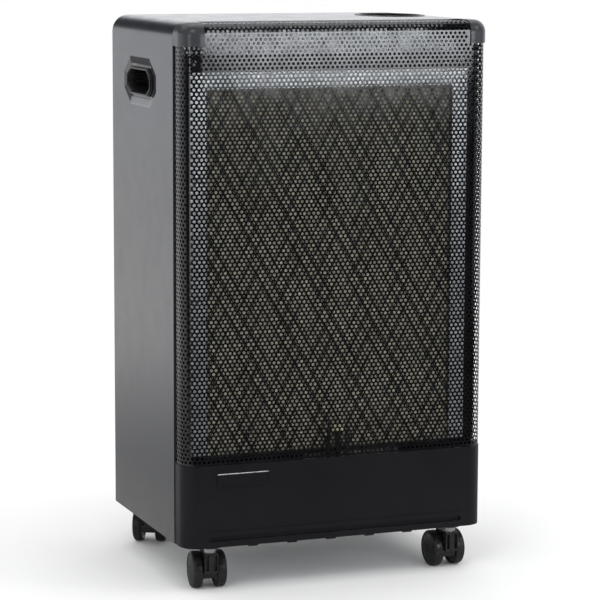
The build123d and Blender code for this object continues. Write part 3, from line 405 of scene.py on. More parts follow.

# %% [markdown]
# A shallow dish is pressed into the sheet round each handle. Its lower slope carries a painted
# highlight, a lighter grey standing in for the light it catches, and the upper one is dulled by the
# fingers that lift there. Both marks could be painted by hand; a patch that is placed from the
# handle's own box stays right when the handle moves.

# %% Painted highlight and wear in the handle dishes
half_dish, slope_start, slope_end, dish_shift = 0.043, 0.0035, 0.0130, 0.003
cup_low, cup_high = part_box("handle_cup_left")
dish_y = (cup_low.y + cup_high.y) / 2 - dish_shift
along_dish = (dish_y - half_dish, dish_y + half_dish)
# Painted highlight: the dish's lower slope is painted a lighter grey.
painted_highlight_slope = patch(anthracite, *along_dish, cup_low.z - slope_end, cup_low.z - slope_start)
tone(anthracite, painted_highlight_slope, (0.17, 0.172, 0.18))
touched = patch(anthracite, *along_dish, cup_high.z + slope_start, cup_high.z + slope_end)
skin = shader_input(anthracite, "Roughness")
worn_dull = banded(anthracite, touched, 0, 1, 0, 0.85)
dulled = combined(anthracite.node_tree, "MAXIMUM", skin.links[0].from_socket, worn_dull)
anthracite.node_tree.links.new(dulled, skin)
print("handle dish round y", round(dish_y, 4))

# %% [markdown]
# The punched front carries a heat-proof black paint, glossier than the cabinet. Dust settles on
# it in faint specks. The lower panel has the same colour but a flatter finish.

# %% Black paints
front_black = new_finish("heatproof_black_paint", (0.0035, 0.0035, 0.0042), 0.11, specular=0.6)
clouds(front_black, (0.0060, 0.0062, 0.0072), 25, 5, 0.4, 0.75)
clouds(front_black, (0.11, 0.11, 0.105), 900, 2, 0.74, 0.82)
gloss(front_black, 40, 5, 0.08, 0.14)
relief(front_black, 0.00002, 700, 2)

panel_black = new_finish("satin_black_paint", (0.0070, 0.0063, 0.0086), 0.36, specular=0.2)
clouds(panel_black, (0.0088, 0.0080, 0.0106), 7, 4, 0.4, 0.7)
clouds(panel_black, (0.14, 0.14, 0.135), 260, 2, 0.79, 0.83)
gloss(panel_black, 22, 5, 0.30, 0.38)
relief(panel_black, 0.00003, 480, 2)
print("black paints ready")

# %% [markdown]
# Five moulded plastics: semi-gloss dark grey corner caps, black handle cups, bay and igniter with
# a fine spark-eroded grain, nylon castors specked with floor dust, a glossy knob and a red button.

# %% Moulded plastics
cap_grey = new_finish("dark_grey_cap_plastic", (0.036, 0.037, 0.041), 0.27)
clouds(cap_grey, (0.046, 0.047, 0.052), 60, 4, 0.4, 0.7)
gloss(cap_grey, 90, 5, 0.24, 0.31)
relief(cap_grey, 0.00002, 1500, 2)

black_plastic = new_finish("grained_black_plastic", (0.010, 0.010, 0.011), 0.34)
clouds(black_plastic, (0.014, 0.014, 0.015), 80, 4, 0.4, 0.7)
gloss(black_plastic, 120, 5, 0.30, 0.40)
relief(black_plastic, 0.00003, 1800, 2)

castor_black = new_finish("castor_nylon", (0.0075, 0.0075, 0.0083), 0.30)
clouds(castor_black, (0.017, 0.017, 0.018), 140, 5, 0.45, 0.7)
clouds(castor_black, (0.07, 0.069, 0.066), 420, 3, 0.70, 0.78)
gloss(castor_black, 160, 5, 0.26, 0.42)
relief(castor_black, 0.00004, 900, 3)

knob_black = new_finish("knob_gloss_black", (0.010, 0.010, 0.011), 0.16, coat=0.2)
clouds(knob_black, (0.015, 0.015, 0.016), 200, 4, 0.45, 0.7)
gloss(knob_black, 300, 5, 0.12, 0.22)

button_red = new_finish("red_button_plastic", (0.42, 0.02, 0.015), 0.25)
clouds(button_red, (0.34, 0.016, 0.014), 220, 4, 0.4, 0.7)
gloss(button_red, 300, 4, 0.2, 0.32)
print("plastics ready")

# %% [markdown]
# Galvanised sheet shows spangle: crystals about ten millimetres across, each with its own tone.
# A Voronoi texture gives each crystal one value, and the edges stay soft because the zinc is
# dull. The burner's frame is brighter, with the fine lines of the rolling mill.

# %% Zinc and aluminised sheet


def spangle(finish, scale):
    """One value for each zinc crystal."""
    tree = finish.node_tree
    crystals = add_node(tree, "ShaderNodeTexVoronoi", {"Scale": scale})
    tree.links.new(position(finish), crystals.inputs["Vector"])
    grey = add_node(tree, "ShaderNodeSeparateColor")
    tree.links.new(crystals.outputs["Color"], grey.inputs[0])
    return grey.outputs[0]


galvanised = new_finish("galvanised_sheet", (0.50, 0.52, 0.54), 0.42, metallic=1.0)
tone(galvanised, spangle(galvanised, 110), (0.62, 0.64, 0.66))
gloss(galvanised, 80, 5, 0.36, 0.50)
relief(galvanised, 0.00002, 500, 3)

bright_sheet = new_finish("aluminised_sheet", (0.90, 0.92, 0.95), 0.30, metallic=0.7)
clouds(bright_sheet, (0.74, 0.76, 0.79), 120, 4, 0.4, 0.7, (1, 1, 30))
gloss(bright_sheet, 60, 5, 0.27, 0.34)

zinc_plated = new_finish("zinc_plated_steel", (0.58, 0.58, 0.56), 0.30, metallic=1.0)
clouds(zinc_plated, (0.46, 0.46, 0.45), 300, 4, 0.4, 0.7)
gloss(zinc_plated, 350, 4, 0.24, 0.40)

yellow_zinc = new_finish("yellow_passivated_zinc", (0.80, 0.76, 0.52), 0.40, metallic=0.3)
clouds(yellow_zinc, (0.72, 0.69, 0.50), 250, 4, 0.4, 0.7)
gloss(yellow_zinc, 300, 4, 0.28, 0.42)
hood_height, fade = 0.009, 0.0004
hood_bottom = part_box("pilot_burner")[1].z - hood_height
tone(yellow_zinc, low_down(yellow_zinc, hood_bottom, hood_bottom + fade), (0.030, 0.028, 0.025))
print("zinc finishes ready")

# %% [markdown]
# The rest of the metal: turned brass with fine lathe lines, drawn aluminium tube that has dulled,
# a grey die-cast valve with a sandy skin and steel wire browned by heat. The spark electrode is
# ceramic, which the pilot has sooted.

# %% Brass, aluminium, wire and ceramic
brass = new_finish("turned_brass", (0.72, 0.52, 0.22), 0.26, metallic=1.0)
clouds(brass, (0.56, 0.39, 0.17), 200, 5, 0.4, 0.75)
relief(brass, 0.00001, 1600, 2, (8, 8, 1))

tube_aluminium = new_finish("drawn_aluminium", (0.70, 0.71, 0.73), 0.34, metallic=1.0)
clouds(tube_aluminium, (0.58, 0.59, 0.61), 90, 5, 0.4, 0.7)
gloss(tube_aluminium, 220, 4, 0.28, 0.42)

die_cast = new_finish("die_cast_alloy", (0.46, 0.47, 0.49), 0.5, metallic=0.9)
clouds(die_cast, (0.36, 0.37, 0.39), 180, 5, 0.4, 0.7)
relief(die_cast, 0.00006, 900, 4)

browned_wire = new_finish("heat_browned_wire", (0.020, 0.019, 0.018), 0.5, metallic=0.3)
clouds(browned_wire, (0.036, 0.031, 0.026), 60, 4, 0.4, 0.7)
gloss(browned_wire, 200, 4, 0.4, 0.58)

ceramic = new_finish("sooted_ceramic", (0.085, 0.075, 0.062), 0.35)
clouds(ceramic, (0.045, 0.040, 0.034), 300, 3, 0.4, 0.7)
print("small metals ready")

# %% [markdown]
# The catalyst is a mat of ceramic fibre, beige with grey and olive patches where it has worked
# hottest. Short fibres cross at all angles: two noises drawn out in different directions give
# the felted look at close range.

# %% Catalyst fibre
fibre = new_finish("catalyst_fibre", (0.52, 0.50, 0.40), 0.95, specular=0.1)
clouds(fibre, (0.41, 0.39, 0.31), 14, 4, 0.38, 0.66)
clouds(fibre, (0.64, 0.60, 0.47), 240, 4, 0.45, 0.75, (6, 1, 1))
clouds(fibre, (0.17, 0.16, 0.13), 260, 4, 0.5, 0.8, (1, 1, 6))
relief(fibre, 0.0006, 420, 5, (5, 1, 1))
relief(fibre, 0.0006, 460, 5, (1, 1, 5))
print("fibre ready")

# %% [markdown]
# The nameplate is a thin black plastic badge without lettering, with a painted highlight along its
# top edge.

# %% Badge finish
badge_black = new_finish("badge_black", (0.0075, 0.0072, 0.0085), 0.42, specular=0.15)
clouds(badge_black, (0.0105, 0.0100, 0.0115), 150, 4, 0.5, 0.75)
gloss(badge_black, 260, 4, 0.38, 0.46)
badge_low, badge_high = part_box("nameplate")
# Painted highlight: a light grey line along the badge's top edge, broken up by noise.
highlight_breakup = banded(badge_black, noise(badge_black, 500, 3), 0.30, 0.5, 0.35, 1.0)
rim = low_down(badge_black, badge_high.z - 0.0002, badge_high.z - 0.0012)
tone(badge_black, times(badge_black.node_tree, rim, highlight_breakup), (0.62, 0.63, 0.66))
print("badge", [round(1000 * v, 1) for v in badge_high - badge_low], "mm")

# %% [markdown]
# Each solid part now gets its finish. The table lists the parts that share one, so a reader can see
# at once what each is made of. The twin castors repeat, so their rows come from a loop.

# %% Give every solid part its finish
worn_by = (
    (anthracite, "outer_shell rear_cover"),
    (front_black, "front_grille"),
    (panel_black, "lower_front_panel front_bulkhead"),
    (cap_grey, "corner_cap_left corner_cap_right"),
    (badge_black, "nameplate"),
    (knob_black, "control_knob"),
    (button_red, "piezo_button"),
    (black_plastic, "handle_cup_left handle_cup_right control_bezel piezo_igniter"),
    (castor_black, "castor_sockets"),
    (galvanised, "base_tray heat_shield gas_tray gas_diffuser valve_bracket"),
    (bright_sheet, "burner_frame"),
    (browned_wire, "wire_guard thermocouple"),
    (fibre, "catalytic_pad"),
    (die_cast, "gas_valve"),
    (brass, "hose_nozzle injector"),
    (tube_aluminium, "gas_pipe pilot_pipe"),
    (yellow_zinc, "pilot_burner"),
    (ceramic, "spark_electrode"),
    (zinc_plated, "pilot_shelf valve_spindle cover_pins cover_studs cover_catches"),
    (zinc_plated, "bulkhead_screws rear_screws"),
)
finish_of = {name: finish for finish, names in worn_by for name in names.split()}
for corner in ("front_left", "front_right", "rear_left", "rear_right"):
    for piece in ("hood", "wheel_a", "wheel_b"):
        finish_of[f"castor_{corner}_{piece}"] = castor_black
    for piece in ("stem", "axle"):
        finish_of[f"castor_{corner}_{piece}"] = zinc_plated
for name, part in parts.items():
    part.data.materials.clear()
    part.data.materials.append(finish_of[name])
print("finishes on", len(finish_of), "parts")

# %% [markdown]
# A helper turns points and faces into a named piece that rides on its body, and another closes the
# band between two rings of points. Blender's operators could do it, but they need a selection.

# %% Helpers for new pieces


def new_piece(name, points, faces, finish, body):
    """A mesh piece from points and faces, in metres in the heater's own frame."""
    mesh = bpy.data.meshes.new(name)
    mesh.from_pydata([tuple(p) for p in points], [], faces)
    mesh.materials.append(finish)
    mesh.polygons.foreach_set("use_smooth", [True] * len(mesh.polygons))
    piece = placed(name, mesh)
    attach(piece, body)
    return piece


def band(near, far):
    """The faces between two rings with as many points each."""
    count = len(near)
    return [(near[i], near[(i + 1) % count], far[(i + 1) % count], far[i]) for i in range(count)]


print("piece helpers ready")

# %% [markdown]
# The front is one sheet of steel, punched all over with four-millimetre holes in staggered rows,
# bent round both front corners and rolled back at the top edge. Cutting eight thousand holes with
# a Boolean would be slow and leave a poor mesh. Instead the flat sheet is thought of as a
# honeycomb: each hole sits in a six-sided cell, and neighbouring cells share their corners, so
# the sheet stays whole. The flat honeycomb is then wrapped onto the bent shape point by point.

# %% Sizes of the punched sheet
sheet_low, sheet_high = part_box("front_grille")
half, front, rear, bottom = sheet_high.x, sheet_low.y, sheet_high.y, sheet_low.z
corner_round, top_roll = 0.022, 0.012
cap_reach, under_cap = 0.1815, 0.706
hole_pitch, row_pitch, hole_radius = 0.006287, 0.005156, 0.0020
straight = (rear - front) - corner_round
arc = corner_round * pi / 2
half_front = half - corner_round
half_run = half_front + arc + straight
roll_start = sheet_high.z - top_roll - bottom
full_rise = roll_start + top_roll * pi / 2 + (rear - front - top_roll)
cap_rise = under_cap - bottom
print("unrolled sheet", round(2 * half_run, 4), "by", round(full_rise, 4), "m")

# %% [markdown]
# A point of the flat sheet is found by how far it lies along the sheet and how far up. Along the
# sheet it passes the flat front, the corner's arc and the side; upwards it meets the rolled edge.
# A Simple Deform modifier bends a whole mesh once; a function bends any point exactly.

# %% Wrap a flat point onto the bent sheet


def on_sheet(s, t):
    """The place of a point s along the sheet from its middle and t up from its lower edge."""
    side, run = (1 if s >= 0 else -1), abs(s)
    if run <= half_front:
        x, y = run, front
    elif run <= half_front + arc:
        angle = (run - half_front) / corner_round
        x = half_front + corner_round * sin(angle)
        y = front + corner_round * (1 - cos(angle))
    else:
        x, y = half, front + corner_round + run - half_front - arc
    z = bottom + min(t, roll_start)
    if t > roll_start:
        rolled = t - roll_start
        angle = min(rolled / top_roll, pi / 2)
        z += top_roll * sin(angle)
        y += top_roll * (1 - cos(angle)) + max(rolled - top_roll * pi / 2, 0)
    return Vector((side * x, y, z))


def limits(s):
    """How far up the sheet goes at a distance from its middle: it is lower under the caps."""
    return cap_rise if abs(s) > cap_reach else full_rise


print("sheet corner", [round(v, 4) for v in on_sheet(half_run, 0)])

# %% [markdown]
# Each hole has a cell with six corners, half a pitch and a third or two thirds of a row away.
# Every other row is shifted by half a pitch. A cell at an edge or beside a corner cap, where a
# hole would tear the rim, stays blank.

# %% Lay out the cells
first_hole, lowest_row, edge_margin = -0.0004, 0.00466, 0.0029
cell_corners = ((0.5, 1 / 3), (0, 2 / 3), (-0.5, 1 / 3), (-0.5, -1 / 3), (0, -2 / 3), (0.5, -1 / 3))
columns, rows = int(half_run / hole_pitch) + 1, int(full_rise / row_pitch) + 1


def corner_keys(s, t):
    """Whole numbers for a cell's six corners, equal where neighbouring cells meet."""
    return [
        (round((s - first_hole + a * hole_pitch) / (hole_pitch / 2)),
         round((t - lowest_row + b * row_pitch) / (row_pitch / 3)))
        for a, b in cell_corners
    ]


cells, users = [], {}
for row in range(rows):
    t = lowest_row + row * row_pitch
    for column in range(-columns, columns + 1):
        s = (column + 0.5 * (row % 2)) * hole_pitch + first_hole
        if abs(s) >= half_run or t >= limits(s):
            continue
        inside = abs(s) + edge_margin < half_run and t + edge_margin < limits(s)
        clear_of_cap = t < cap_rise - edge_margin or abs(s) < cap_reach - edge_margin
        keys = corner_keys(s, t)
        cells.append((s, t, inside and clear_of_cap, keys))
        for key in keys:
            users[key] = users.get(key, 0) + 1
print(sum(punched for s, t, punched, keys in cells), "holes in", len(cells), "cells")

# %% [markdown]
# Three cells share a corner inside the sheet. A corner with fewer users lies on the rim, so it
# moves out to the nearest edge, and the sheet ends in a clean line instead of a saw blade.

# %% Punch the sheet
ring_steps = 12


def settle(key):
    """A shared corner stays; a corner on the rim moves out to the nearest edge of the sheet."""
    s, t = key[0] * hole_pitch / 2 + first_hole, lowest_row + key[1] * row_pitch / 3
    if users[key] == 3:
        return s, t
    side, run = (1 if s > 0 else -1), abs(s)
    edges = [(t, (s, 0.0)), (half_run - run, (side * half_run, t)), (limits(s) - t, (s, limits(s)))]
    edges.append((hypot(cap_reach - run, cap_rise - t), (side * cap_reach, cap_rise)))
    if t > cap_rise:
        edges.append((cap_reach - run, (side * cap_reach, t)))
    return min(edges, key=lambda edge: abs(edge[0]))[1]


index_of = {key: index for index, key in enumerate(users)}
points = [on_sheet(*settle(key)) for key in users]
faces = []
for s, t, punched, keys in cells:
    around = [index_of[key] for key in keys]
    if not punched:
        faces.append(tuple(around))
        continue
    start = len(points)
    for step in range(ring_steps):
        angle = 2 * pi * step / ring_steps + pi / 6
        points.append(on_sheet(s + hole_radius * cos(angle), t + hole_radius * sin(angle)))
    for side in range(6):
        first = start + 2 * side
        last = start + (2 * side + 2) % ring_steps
        faces.append((around[side], around[(side + 1) % 6], last, first + 1, first))
print(len(faces), "faces")

# %% [markdown]
# At the back the sheet turns in by a centimetre, which stiffens its edges. The finished piece
# then takes the place of the plain solid.

# %% Turn in the sheet's rear edges
flange = 0.010
for side in (-1, 1):
    start = len(points)
    for x in (half, half - flange):
        for z in (bottom, under_cap):
            points.append(Vector((side * x, rear, z)))
    faces.append((start, start + 1, start + 3, start + 2))
punched_front = new_piece("punched_front", points, faces, front_black, "cabinet")
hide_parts("front_grille")
print("punched front", len(punched_front.data.vertices), "points")

# %% [markdown]
# Behind the punched sheet a welded mesh of thin wire guards the burner. The wires cross as tall
# diamonds, and the mesh was cut about one degree out of square, which is what makes the slanting
# bands that the eye sees through the holes. One set of wires lies on the other, and both are
# welded to a flat rim. Arrayed copies would need trimming; here each wire is a line that is cut at
# the rim before it becomes a tube.

# %% Weld the diamond guard
guard_low, guard_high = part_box("wire_guard")
rim_width, wire_radius, wire_sides = 0.003, 0.0009, 8
diamond_width, diamond_height, out_of_square = 0.01711, 0.03013, radians(1.0)
first_wires, most_wires = {1: 0.031, -1: 0.886}, 60
wire_offset = 0.9 * wire_radius
depth_middle = (guard_low.y + guard_high.y) / 2
guard_points, guard_faces = [], []


def add_wire(start, end):
    """A straight wire between two points."""
    along, depthwise = (end - start).normalized(), Vector((0, 1, 0))
    across = along.cross(depthwise).normalized()
    base = len(guard_points)
    for centre in (start, end):
        for step in range(wire_sides):
            angle = 2 * pi * step / wire_sides
            outward = cos(angle) * across + sin(angle) * depthwise
            guard_points.append(centre + wire_radius * outward)
    near = range(base, base + wire_sides)
    far = range(base + wire_sides, base + 2 * wire_sides)
    guard_faces.extend([*band(near, far), tuple(reversed(near)), tuple(far)])


def clipped(normal, distance):
    """Where a line in the guard's plane meets its rim: two points, or none."""
    low_x, high_x = guard_low.x + rim_width / 2, guard_high.x - rim_width / 2
    low_z, high_z = guard_low.z + rim_width / 2, guard_high.z - rim_width / 2
    ends = []
    for x in (low_x, high_x):
        z = (distance - normal[0] * x) / normal[1]
        if low_z < z < high_z:
            ends.append((x, z))
    for z in (low_z, high_z):
        x = (distance - normal[1] * z) / normal[0]
        if low_x < x < high_x:
            ends.append((x, z))
    return ends if len(ends) == 2 else []


density = Vector((1 / diamond_width, 1 / diamond_height))
wires = 0
for lean, first in first_wires.items():
    tilt = atan2(lean * density.y, density.x) + out_of_square
    normal = (density.length * cos(tilt), density.length * sin(tilt))
    y = depth_middle + lean * wire_offset
    for count in range(-most_wires, most_wires + 1):
        ends = clipped(normal, count + first)
        if ends:
            add_wire(*[Vector((x, y, z)) for x, z in ends])
            wires += 1
print(wires, "wires in the diamond guard")

# %% [markdown]
# The rim is a flat strip with broken edges, mitred at the corners. It is one outline carried
# round the four corners, which needs fewer faces than four boxes and leaves no overlap.

# %% Frame the guard
edge_break = 0.0006
rim_section = (
    (0, guard_high.y), (0, guard_low.y + edge_break), (edge_break, guard_low.y),
    (rim_width - edge_break, guard_low.y), (rim_width, guard_low.y + edge_break),
    (rim_width, guard_high.y),
)
rim_corners = (
    (guard_low.x, guard_low.z, 1, 1), (guard_high.x, guard_low.z, -1, 1),
    (guard_high.x, guard_high.z, -1, -1), (guard_low.x, guard_high.z, 1, -1),
)
rings = []
for inset, depth in rim_section:
    rings.append(range(len(guard_points), len(guard_points) + 4))
    for x, z, inward_x, inward_z in rim_corners:
        guard_points.append(Vector((x + inward_x * inset, depth, z + inward_z * inset)))
for ring, next_ring in zip(rings, rings[1:] + rings[:1]):
    guard_faces += band(ring, next_ring)
diamond_guard = new_piece("diamond_guard", guard_points, guard_faces, browned_wire, "cabinet")
diamond_guard.data.set_sharp_from_angle(angle=radians(50))
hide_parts("wire_guard")
print("guard of", len(guard_faces), "faces")

# %% [markdown]
# The catalyst pad is a soft mat of fibre, about twelve millimetres thick. Its face swells slightly
# between the tray's walls, it is felted in small tufts, and its edges are rounded where they were
# cut. A grid of points pushed out by a few noises gives all of that; a cloth simulation would only
# smooth the tufts away.

# %% Lay the fibre pad
pad_low, pad_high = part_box("catalytic_pad")
pad_columns, pad_rows = 150, 190
edge_softness, edge_drop, face_level, swell_height = 0.007, 0.0035, 0.0011, 0.0008


def pad_face(x, z):
    """How far the pad's face stands back from its highest level at a point."""
    rim = min(x - pad_low.x, pad_high.x - x, z - pad_low.z, pad_high.z - z)
    rounding = edge_drop * max(0.0, 1 - rim / edge_softness) ** 2
    upward = 1 - abs(2 * z - pad_low.z - pad_high.z) / (pad_high.z - pad_low.z)
    swell = swell_height * (1 - abs(x) / pad_high.x) * upward
    tufts = 0.0006 * noise_at(Vector((x, 0, z)) * 45) + 0.0003 * noise_at(Vector((x, 0.3, z)) * 160)
    return face_level + rounding - swell + tufts


def grid_places(low_x, high_x, low_z, high_z, columns, rows):
    """The places of a grid over a rectangle, row by row."""
    for row in range(rows + 1):
        for column in range(columns + 1):
            yield low_x + (high_x - low_x) * column / columns, low_z + (high_z - low_z) * row / rows


def grid_faces(columns, rows):
    """The faces of a grid whose points come row by row."""
    wide = columns + 1
    corners = [row * wide + column for row in range(rows) for column in range(columns)]
    return [(here, here + 1, here + wide + 1, here + wide) for here in corners]


pad_grid = grid_places(pad_low.x, pad_high.x, pad_low.z, pad_high.z, pad_columns, pad_rows)
pad_points = [Vector((x, pad_low.y + pad_face(x, z), z)) for x, z in pad_grid]
pad_faces = grid_faces(pad_columns, pad_rows)
wide = pad_columns + 1
border = list(range(pad_columns))
border += [row * wide + pad_columns for row in range(pad_rows)]
border += [pad_rows * wide + column for column in range(pad_columns, 0, -1)]
border += [row * wide for row in range(pad_rows, 0, -1)]
back = len(pad_points)
for index in border:
    pad_points.append(Vector((pad_points[index].x, pad_high.y, pad_points[index].z)))
for step, index in enumerate(border):
    after = (step + 1) % len(border)
    pad_faces.append((index, back + step, back + after, border[after]))
pad_faces.append(tuple(back + step for step in range(len(border))))
fibre_pad = new_piece("fibre_pad", pad_points, pad_faces, fibre, "cabinet")
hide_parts("catalytic_pad")
print("fibre pad", len(pad_points), "points")

# %% [markdown]
# A thin strip of the same fibre seals the tray's flange below the pad. It is a flat grid with a
# Solidify modifier for its thickness, which keeps the thickness a single number to change.

# %% Lay the fibre gasket
gasket_low, gasket_high = guard_low.z + 0.004, pad_low.z + 0.003
gasket_columns, gasket_rows, gasket_level = 120, 6, 0.0006
gasket_points = []
gasket_grid = (pad_low.x, pad_high.x, gasket_low, gasket_high, gasket_columns, gasket_rows)
for x, z in grid_places(*gasket_grid):
    tufts = 0.0002 * noise_at(Vector((x, 0.7, z)) * 160)
    gasket_points.append(Vector((x, pad_low.y - gasket_level + tufts, z)))
gasket_faces = grid_faces(gasket_columns, gasket_rows)
fibre_gasket = new_piece("fibre_gasket", gasket_points, gasket_faces, fibre, "cabinet")
thickness = fibre_gasket.modifiers.new("thickness", "SOLIDIFY")
thickness.thickness, thickness.offset = 0.0004, -1
print("fibre gasket", len(gasket_points), "points")

# %% [markdown]
# The handles are black plastic cups clipped into the sides. Their rim is one rounded lip round an
# eight-sided mouth, and two thin ribs at each end keep the walls apart. A cup could be cut from a
# block with a Boolean; the same outline many times over, each ring a little smaller or deeper than
# the one before, gives cleaner edges. The profile lists how far a ring stands out and its depth.

# %% Outline of a handle cup
cup_profile_mm = (
    (1.0, 2.0), (1.0, 0.8), (0.7, 0.5), (0.0, 0.45), (0.0, -1.2), (-0.2, -1.7), (-0.8, -2.0),
    (-1.5, -2.0), (-2.1, -1.7), (-2.5, -1.0), (-2.6, 14.0), (-2.8, 25.5), (-4.5, 27.5),
)


def rounded_outline(length, height, corner, end_height, radius, steps=5):
    """An eight-sided outline with rounded corners, about its own middle."""
    quarter = [(length / 2, end_height / 2), (length / 2 - corner, height / 2)]
    ring = quarter + [(-x, z) for x, z in reversed(quarter)] + [(-x, -z) for x, z in quarter]
    ring += [(x, -z) for x, z in reversed(quarter)]
    out = []
    for index, here in enumerate(ring):
        here, before, after = Vector(here), Vector(ring[index - 1]), Vector(ring[(index + 1) % 8])
        to_before, to_after = (before - here).normalized(), (after - here).normalized()
        wanted = radius * tan((pi - to_before.angle(to_after)) / 2)
        reach = min(wanted, 0.45 * (before - here).length, 0.45 * (after - here).length)
        start, end = here + reach * to_before, here + reach * to_after
        for step in range(steps + 1):
            u = step / steps
            out.append((1 - u) ** 2 * start + 2 * u * (1 - u) * here + u ** 2 * end)
    return out


def add_rib(points, faces, x0, x1, y0, y1, z, thick):
    """A thin rib with rounded long edges."""
    start = len(points)
    section = ((0, -0.5), (0.0003, -0.25), (0.0003, 0.25), (0, 0.5))
    for y, shrink in ((y0, 1), (y1, -1)):
        for inset, level in section:
            for x in (x0, x1):
                points.append(Vector((x, y - shrink * inset, z + level * thick)))
    for step in range(3):
        a = start + 2 * step
        faces.append((a, a + 1, a + 3, a + 2))
        faces.append((a + 8, a + 10, a + 11, a + 9))
    faces.append((start, start + 8, start + 9, start + 1))
    faces.append((start + 6, start + 7, start + 15, start + 14))


print(len(cup_profile_mm), "rings in a cup")

# %% [markdown]
# Both cups come from one loop, which mirrors the rings by the side's sign. Each takes its place
# from the box of the solid that it stands for.

# %% Mould the handle cups
mouth_length, mouth_height, mouth_cut, mouth_end, mouth_radius = 0.101, 0.035, 0.015, 0.015, 0.006
lip_height = 0.002
rib_heights, rib_start, rib_end, rib_thickness = (0.008, -0.002), 0.0355, 0.0478, 0.0015
rib_back, rib_front = 0.027, 0.006
for side_name, side in (("left", -1), ("right", 1)):
    node = f"handle_cup_{side_name}"
    cup_low, cup_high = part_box(node)
    centre_y, centre_z = (cup_low.y + cup_high.y) / 2, (cup_low.z + cup_high.z) / 2
    outer = max(abs(cup_low.x), abs(cup_high.x)) - lip_height
    cup_points, cup_faces = [], []
    for out_mm, depth_mm in cup_profile_mm:
        grow, x = out_mm / 1000, side * (outer - depth_mm / 1000)
        long, high = mouth_length + 2 * grow, mouth_height + 2 * grow
        ring = rounded_outline(long, high, mouth_cut, mouth_end + 0.6 * grow, mouth_radius)
        cup_points += [Vector((x, centre_y + p.x, centre_z + p.y)) for p in ring]
    starts = range(0, len(cup_points), len(ring))
    rings = [range(start, start + len(ring)) for start in starts]
    for near, far in zip(rings, rings[1:]):
        cup_faces += band(near, far)
    cup_faces.append(tuple(rings[-1]))
    rib_x = (side * (outer - rib_back), side * (outer - rib_front))
    for end in (-1, 1):
        rib_y = sorted((centre_y + end * rib_start, centre_y + end * rib_end))
        for height in rib_heights:
            add_rib(cup_points, cup_faces, *rib_x, *rib_y, centre_z + height, rib_thickness)
    cup = new_piece(f"moulded_cup_{side_name}", cup_points, cup_faces, black_plastic, "cabinet")
    cup.data.set_sharp_from_angle(angle=radians(40))
    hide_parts(node)
    print(cup.name, len(cup_points), "points")

# %% [markdown]
# Round parts are turned from an outline, as on a lathe: the castor wheels and the control knob.
# The outline is a list of pairs, how far along the axle and how far out. A Screw modifier does the
# same, but a function also leaves room for flutes. A wheel has a domed outer face with a raised
# lip, a tread with soft shoulders and a dished inner face with a hub.

# %% A lathe and a wheel's outline


def turned(outline, steps, flute=None):
    """Points and faces of an outline turned about its axis, which runs along X."""
    points, faces = [], []
    for step in range(steps):
        angle = 2 * pi * step / steps
        for along, out in outline:
            out = flute(along, out, angle) if flute else out
            points.append(Vector((along, out * cos(angle), out * sin(angle))))
    count = len(outline)
    for step in range(steps):
        for level in range(count - 1):
            a, b = step * count + level, ((step + 1) % steps) * count + level
            faces.append((a, b, b + 1, a + 1))
    return points, faces


wheel_outline_mm = (
    (9.5, 3.3), (9.5, 8.2), (9.9, 8.8), (11.0, 9.2), (11.0, 18.6), (10.2, 19.4), (9.5, 20.0),
    (9.5, 22.4), (9.9, 23.3), (11.0, 23.9), (12.5, 24.0), (18.6, 24.0), (20.0, 23.8), (20.9, 23.2),
    (21.4, 22.4), (21.9, 21.8), (22.1, 21.3), (22.0, 20.9), (21.5, 20.6), (21.45, 20.0),
    (21.9, 18.0), (22.5, 15.0), (23.0, 11.5), (23.3, 8.0), (23.45, 5.4), (23.1, 5.0), (23.1, 4.4),
    (23.5, 4.0), (23.5, 0.02),
)
wheel_profile = [(along / 1000, out / 1000) for along, out in wheel_outline_mm]
print(len(wheel_profile), "points in a wheel's outline")

# %% [markdown]
# The castors stand as they were left after the heater was pushed, each turned to its own angle.
# A wheel is turned about X at the origin first, then moved to its axle and swung with its castor.

# %% Turn the castor wheels
castor_reach, castor_front_y, castor_rear_y = 0.169, -0.166, 0.097
trail, wheel_height = 0.018, 0.024
swings = {"front_left": -6.0, "front_right": 2.0, "rear_left": -28.0, "rear_right": 12.0}
wheel_steps = 64
for corner, swing in swings.items():
    x = -castor_reach if corner.endswith("left") else castor_reach
    y = castor_front_y if corner.startswith("front") else castor_rear_y
    turn = Matrix.Translation((x, y, 0)) @ Matrix.Rotation(radians(swing), 4, "Z")
    turn = turn @ Matrix.Translation((0, trail, wheel_height))
    for letter in ("a", "b"):
        node = f"castor_{corner}_wheel_{letter}"
        node_low, node_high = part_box(node)
        axle = turn.to_3x3() @ Vector((1, 0, 0))
        node_middle = (node_low + node_high) / 2
        side = 1 if (node_middle - turn.translation).dot(axle) > 0 else -1
        round_points, round_faces = turned(wheel_profile, wheel_steps)
        wheel_points = [turn @ Vector((side * p.x, p.y, p.z)) for p in round_points]
        wheel = new_piece(f"turned_{node}", wheel_points, round_faces, castor_black, node)
        wheel.data.set_sharp_from_angle(angle=radians(38))
        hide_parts(node)
print(2 * len(swings), "castor wheels of", len(round_points), "points")

# %% [markdown]
# The knob is a fluted cap with a raised finger bar. The flutes could be cut one by one; here they
# are one wave round the turned body, and they end below the top.

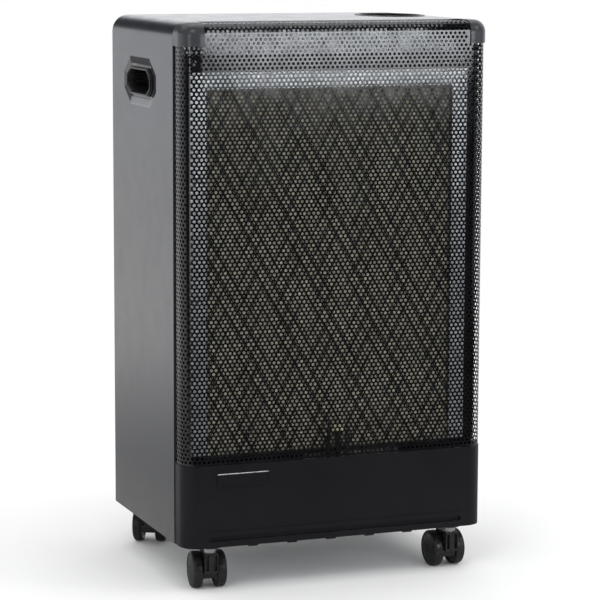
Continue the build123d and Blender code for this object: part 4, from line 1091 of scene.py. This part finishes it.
# %% Turn the control knob
knob_low, knob_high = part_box("control_knob")
knob_radius, knob_tall = (knob_high.x - knob_low.x) / 2, knob_high.z - knob_low.z
knob_middle = (knob_low + knob_high) / 2
knob_outline = (
    (0.0, 0.0045), (0.0, knob_radius - 0.0008), (0.0006, knob_radius), (0.003, knob_radius),
    (0.0038, knob_radius - 0.0012), (0.0042, knob_radius - 0.0022),
    (knob_tall - 0.0052, knob_radius - 0.0026), (knob_tall - 0.0036, knob_radius - 0.0032),
    (knob_tall - 0.0030, knob_radius - 0.0046), (knob_tall - 0.0034, knob_radius - 0.0060),
    (knob_tall - 0.0036, 0.0002),
)
knob_steps, flute_count, flute_depth = 96, 16, 0.00055


def fluted(along, out, angle):
    """Sixteen soft flutes between the knob's foot and its shoulder."""
    if 0.004 < along < knob_tall - 0.003 and out > knob_radius - 0.004:
        return out - flute_depth * (0.5 + 0.5 * cos(flute_count * angle))
    return out


knob_points, knob_faces = turned(knob_outline, knob_steps, fluted)
knob_foot = Matrix.Translation((knob_middle.x, knob_middle.y, knob_low.z))
upright = knob_foot @ Matrix.Rotation(-pi / 2, 4, "Y")
knob_points = [upright @ p for p in knob_points]
print("knob", round(2000 * knob_radius, 1), "mm wide")

# %% [markdown]
# The finger bar is a rounded outline again, in four rings that step in at the top for a soft edge.
# Its foot is sunk into the cap and it belongs to the same piece, so both turn together.

# %% Add the finger bar
bar_length, bar_width = 2 * (knob_radius - 0.0042), 0.0068
bar_cut, bar_end, bar_radius, bar_steps = 0.0022, 0.0030, 0.0012, 3
bar_top, bar_foot = knob_high.z, knob_high.z - 0.0042
bar_rings = (
    (0, bar_foot), (0, bar_top - 0.0010), (0.0003, bar_top - 0.0003), (0.0010, bar_top),
)
bar_start = len(knob_points)
for inset, level in bar_rings:
    long, broad = bar_length - 2 * inset, bar_width - 2 * inset
    bar_ring = rounded_outline(long, broad, bar_cut, bar_end - inset, bar_radius, bar_steps)
    for p in bar_ring:
        knob_points.append(Vector((knob_middle.x + p.y, knob_middle.y + p.x, level)))
starts = range(bar_start, len(knob_points), len(bar_ring))
rings = [range(start, start + len(bar_ring)) for start in starts]
for near, far in zip(rings, rings[1:]):
    knob_faces += [(a, d, c, b) for a, b, c, d in band(near, far)]
knob_faces.append(tuple(reversed(rings[-1])))
knob = new_piece("fluted_knob", knob_points, knob_faces, knob_black, "knob")
knob.data.set_sharp_from_angle(angle=radians(40))
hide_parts("control_knob")
print("finger bar", round(1000 * bar_length, 1), "mm long")
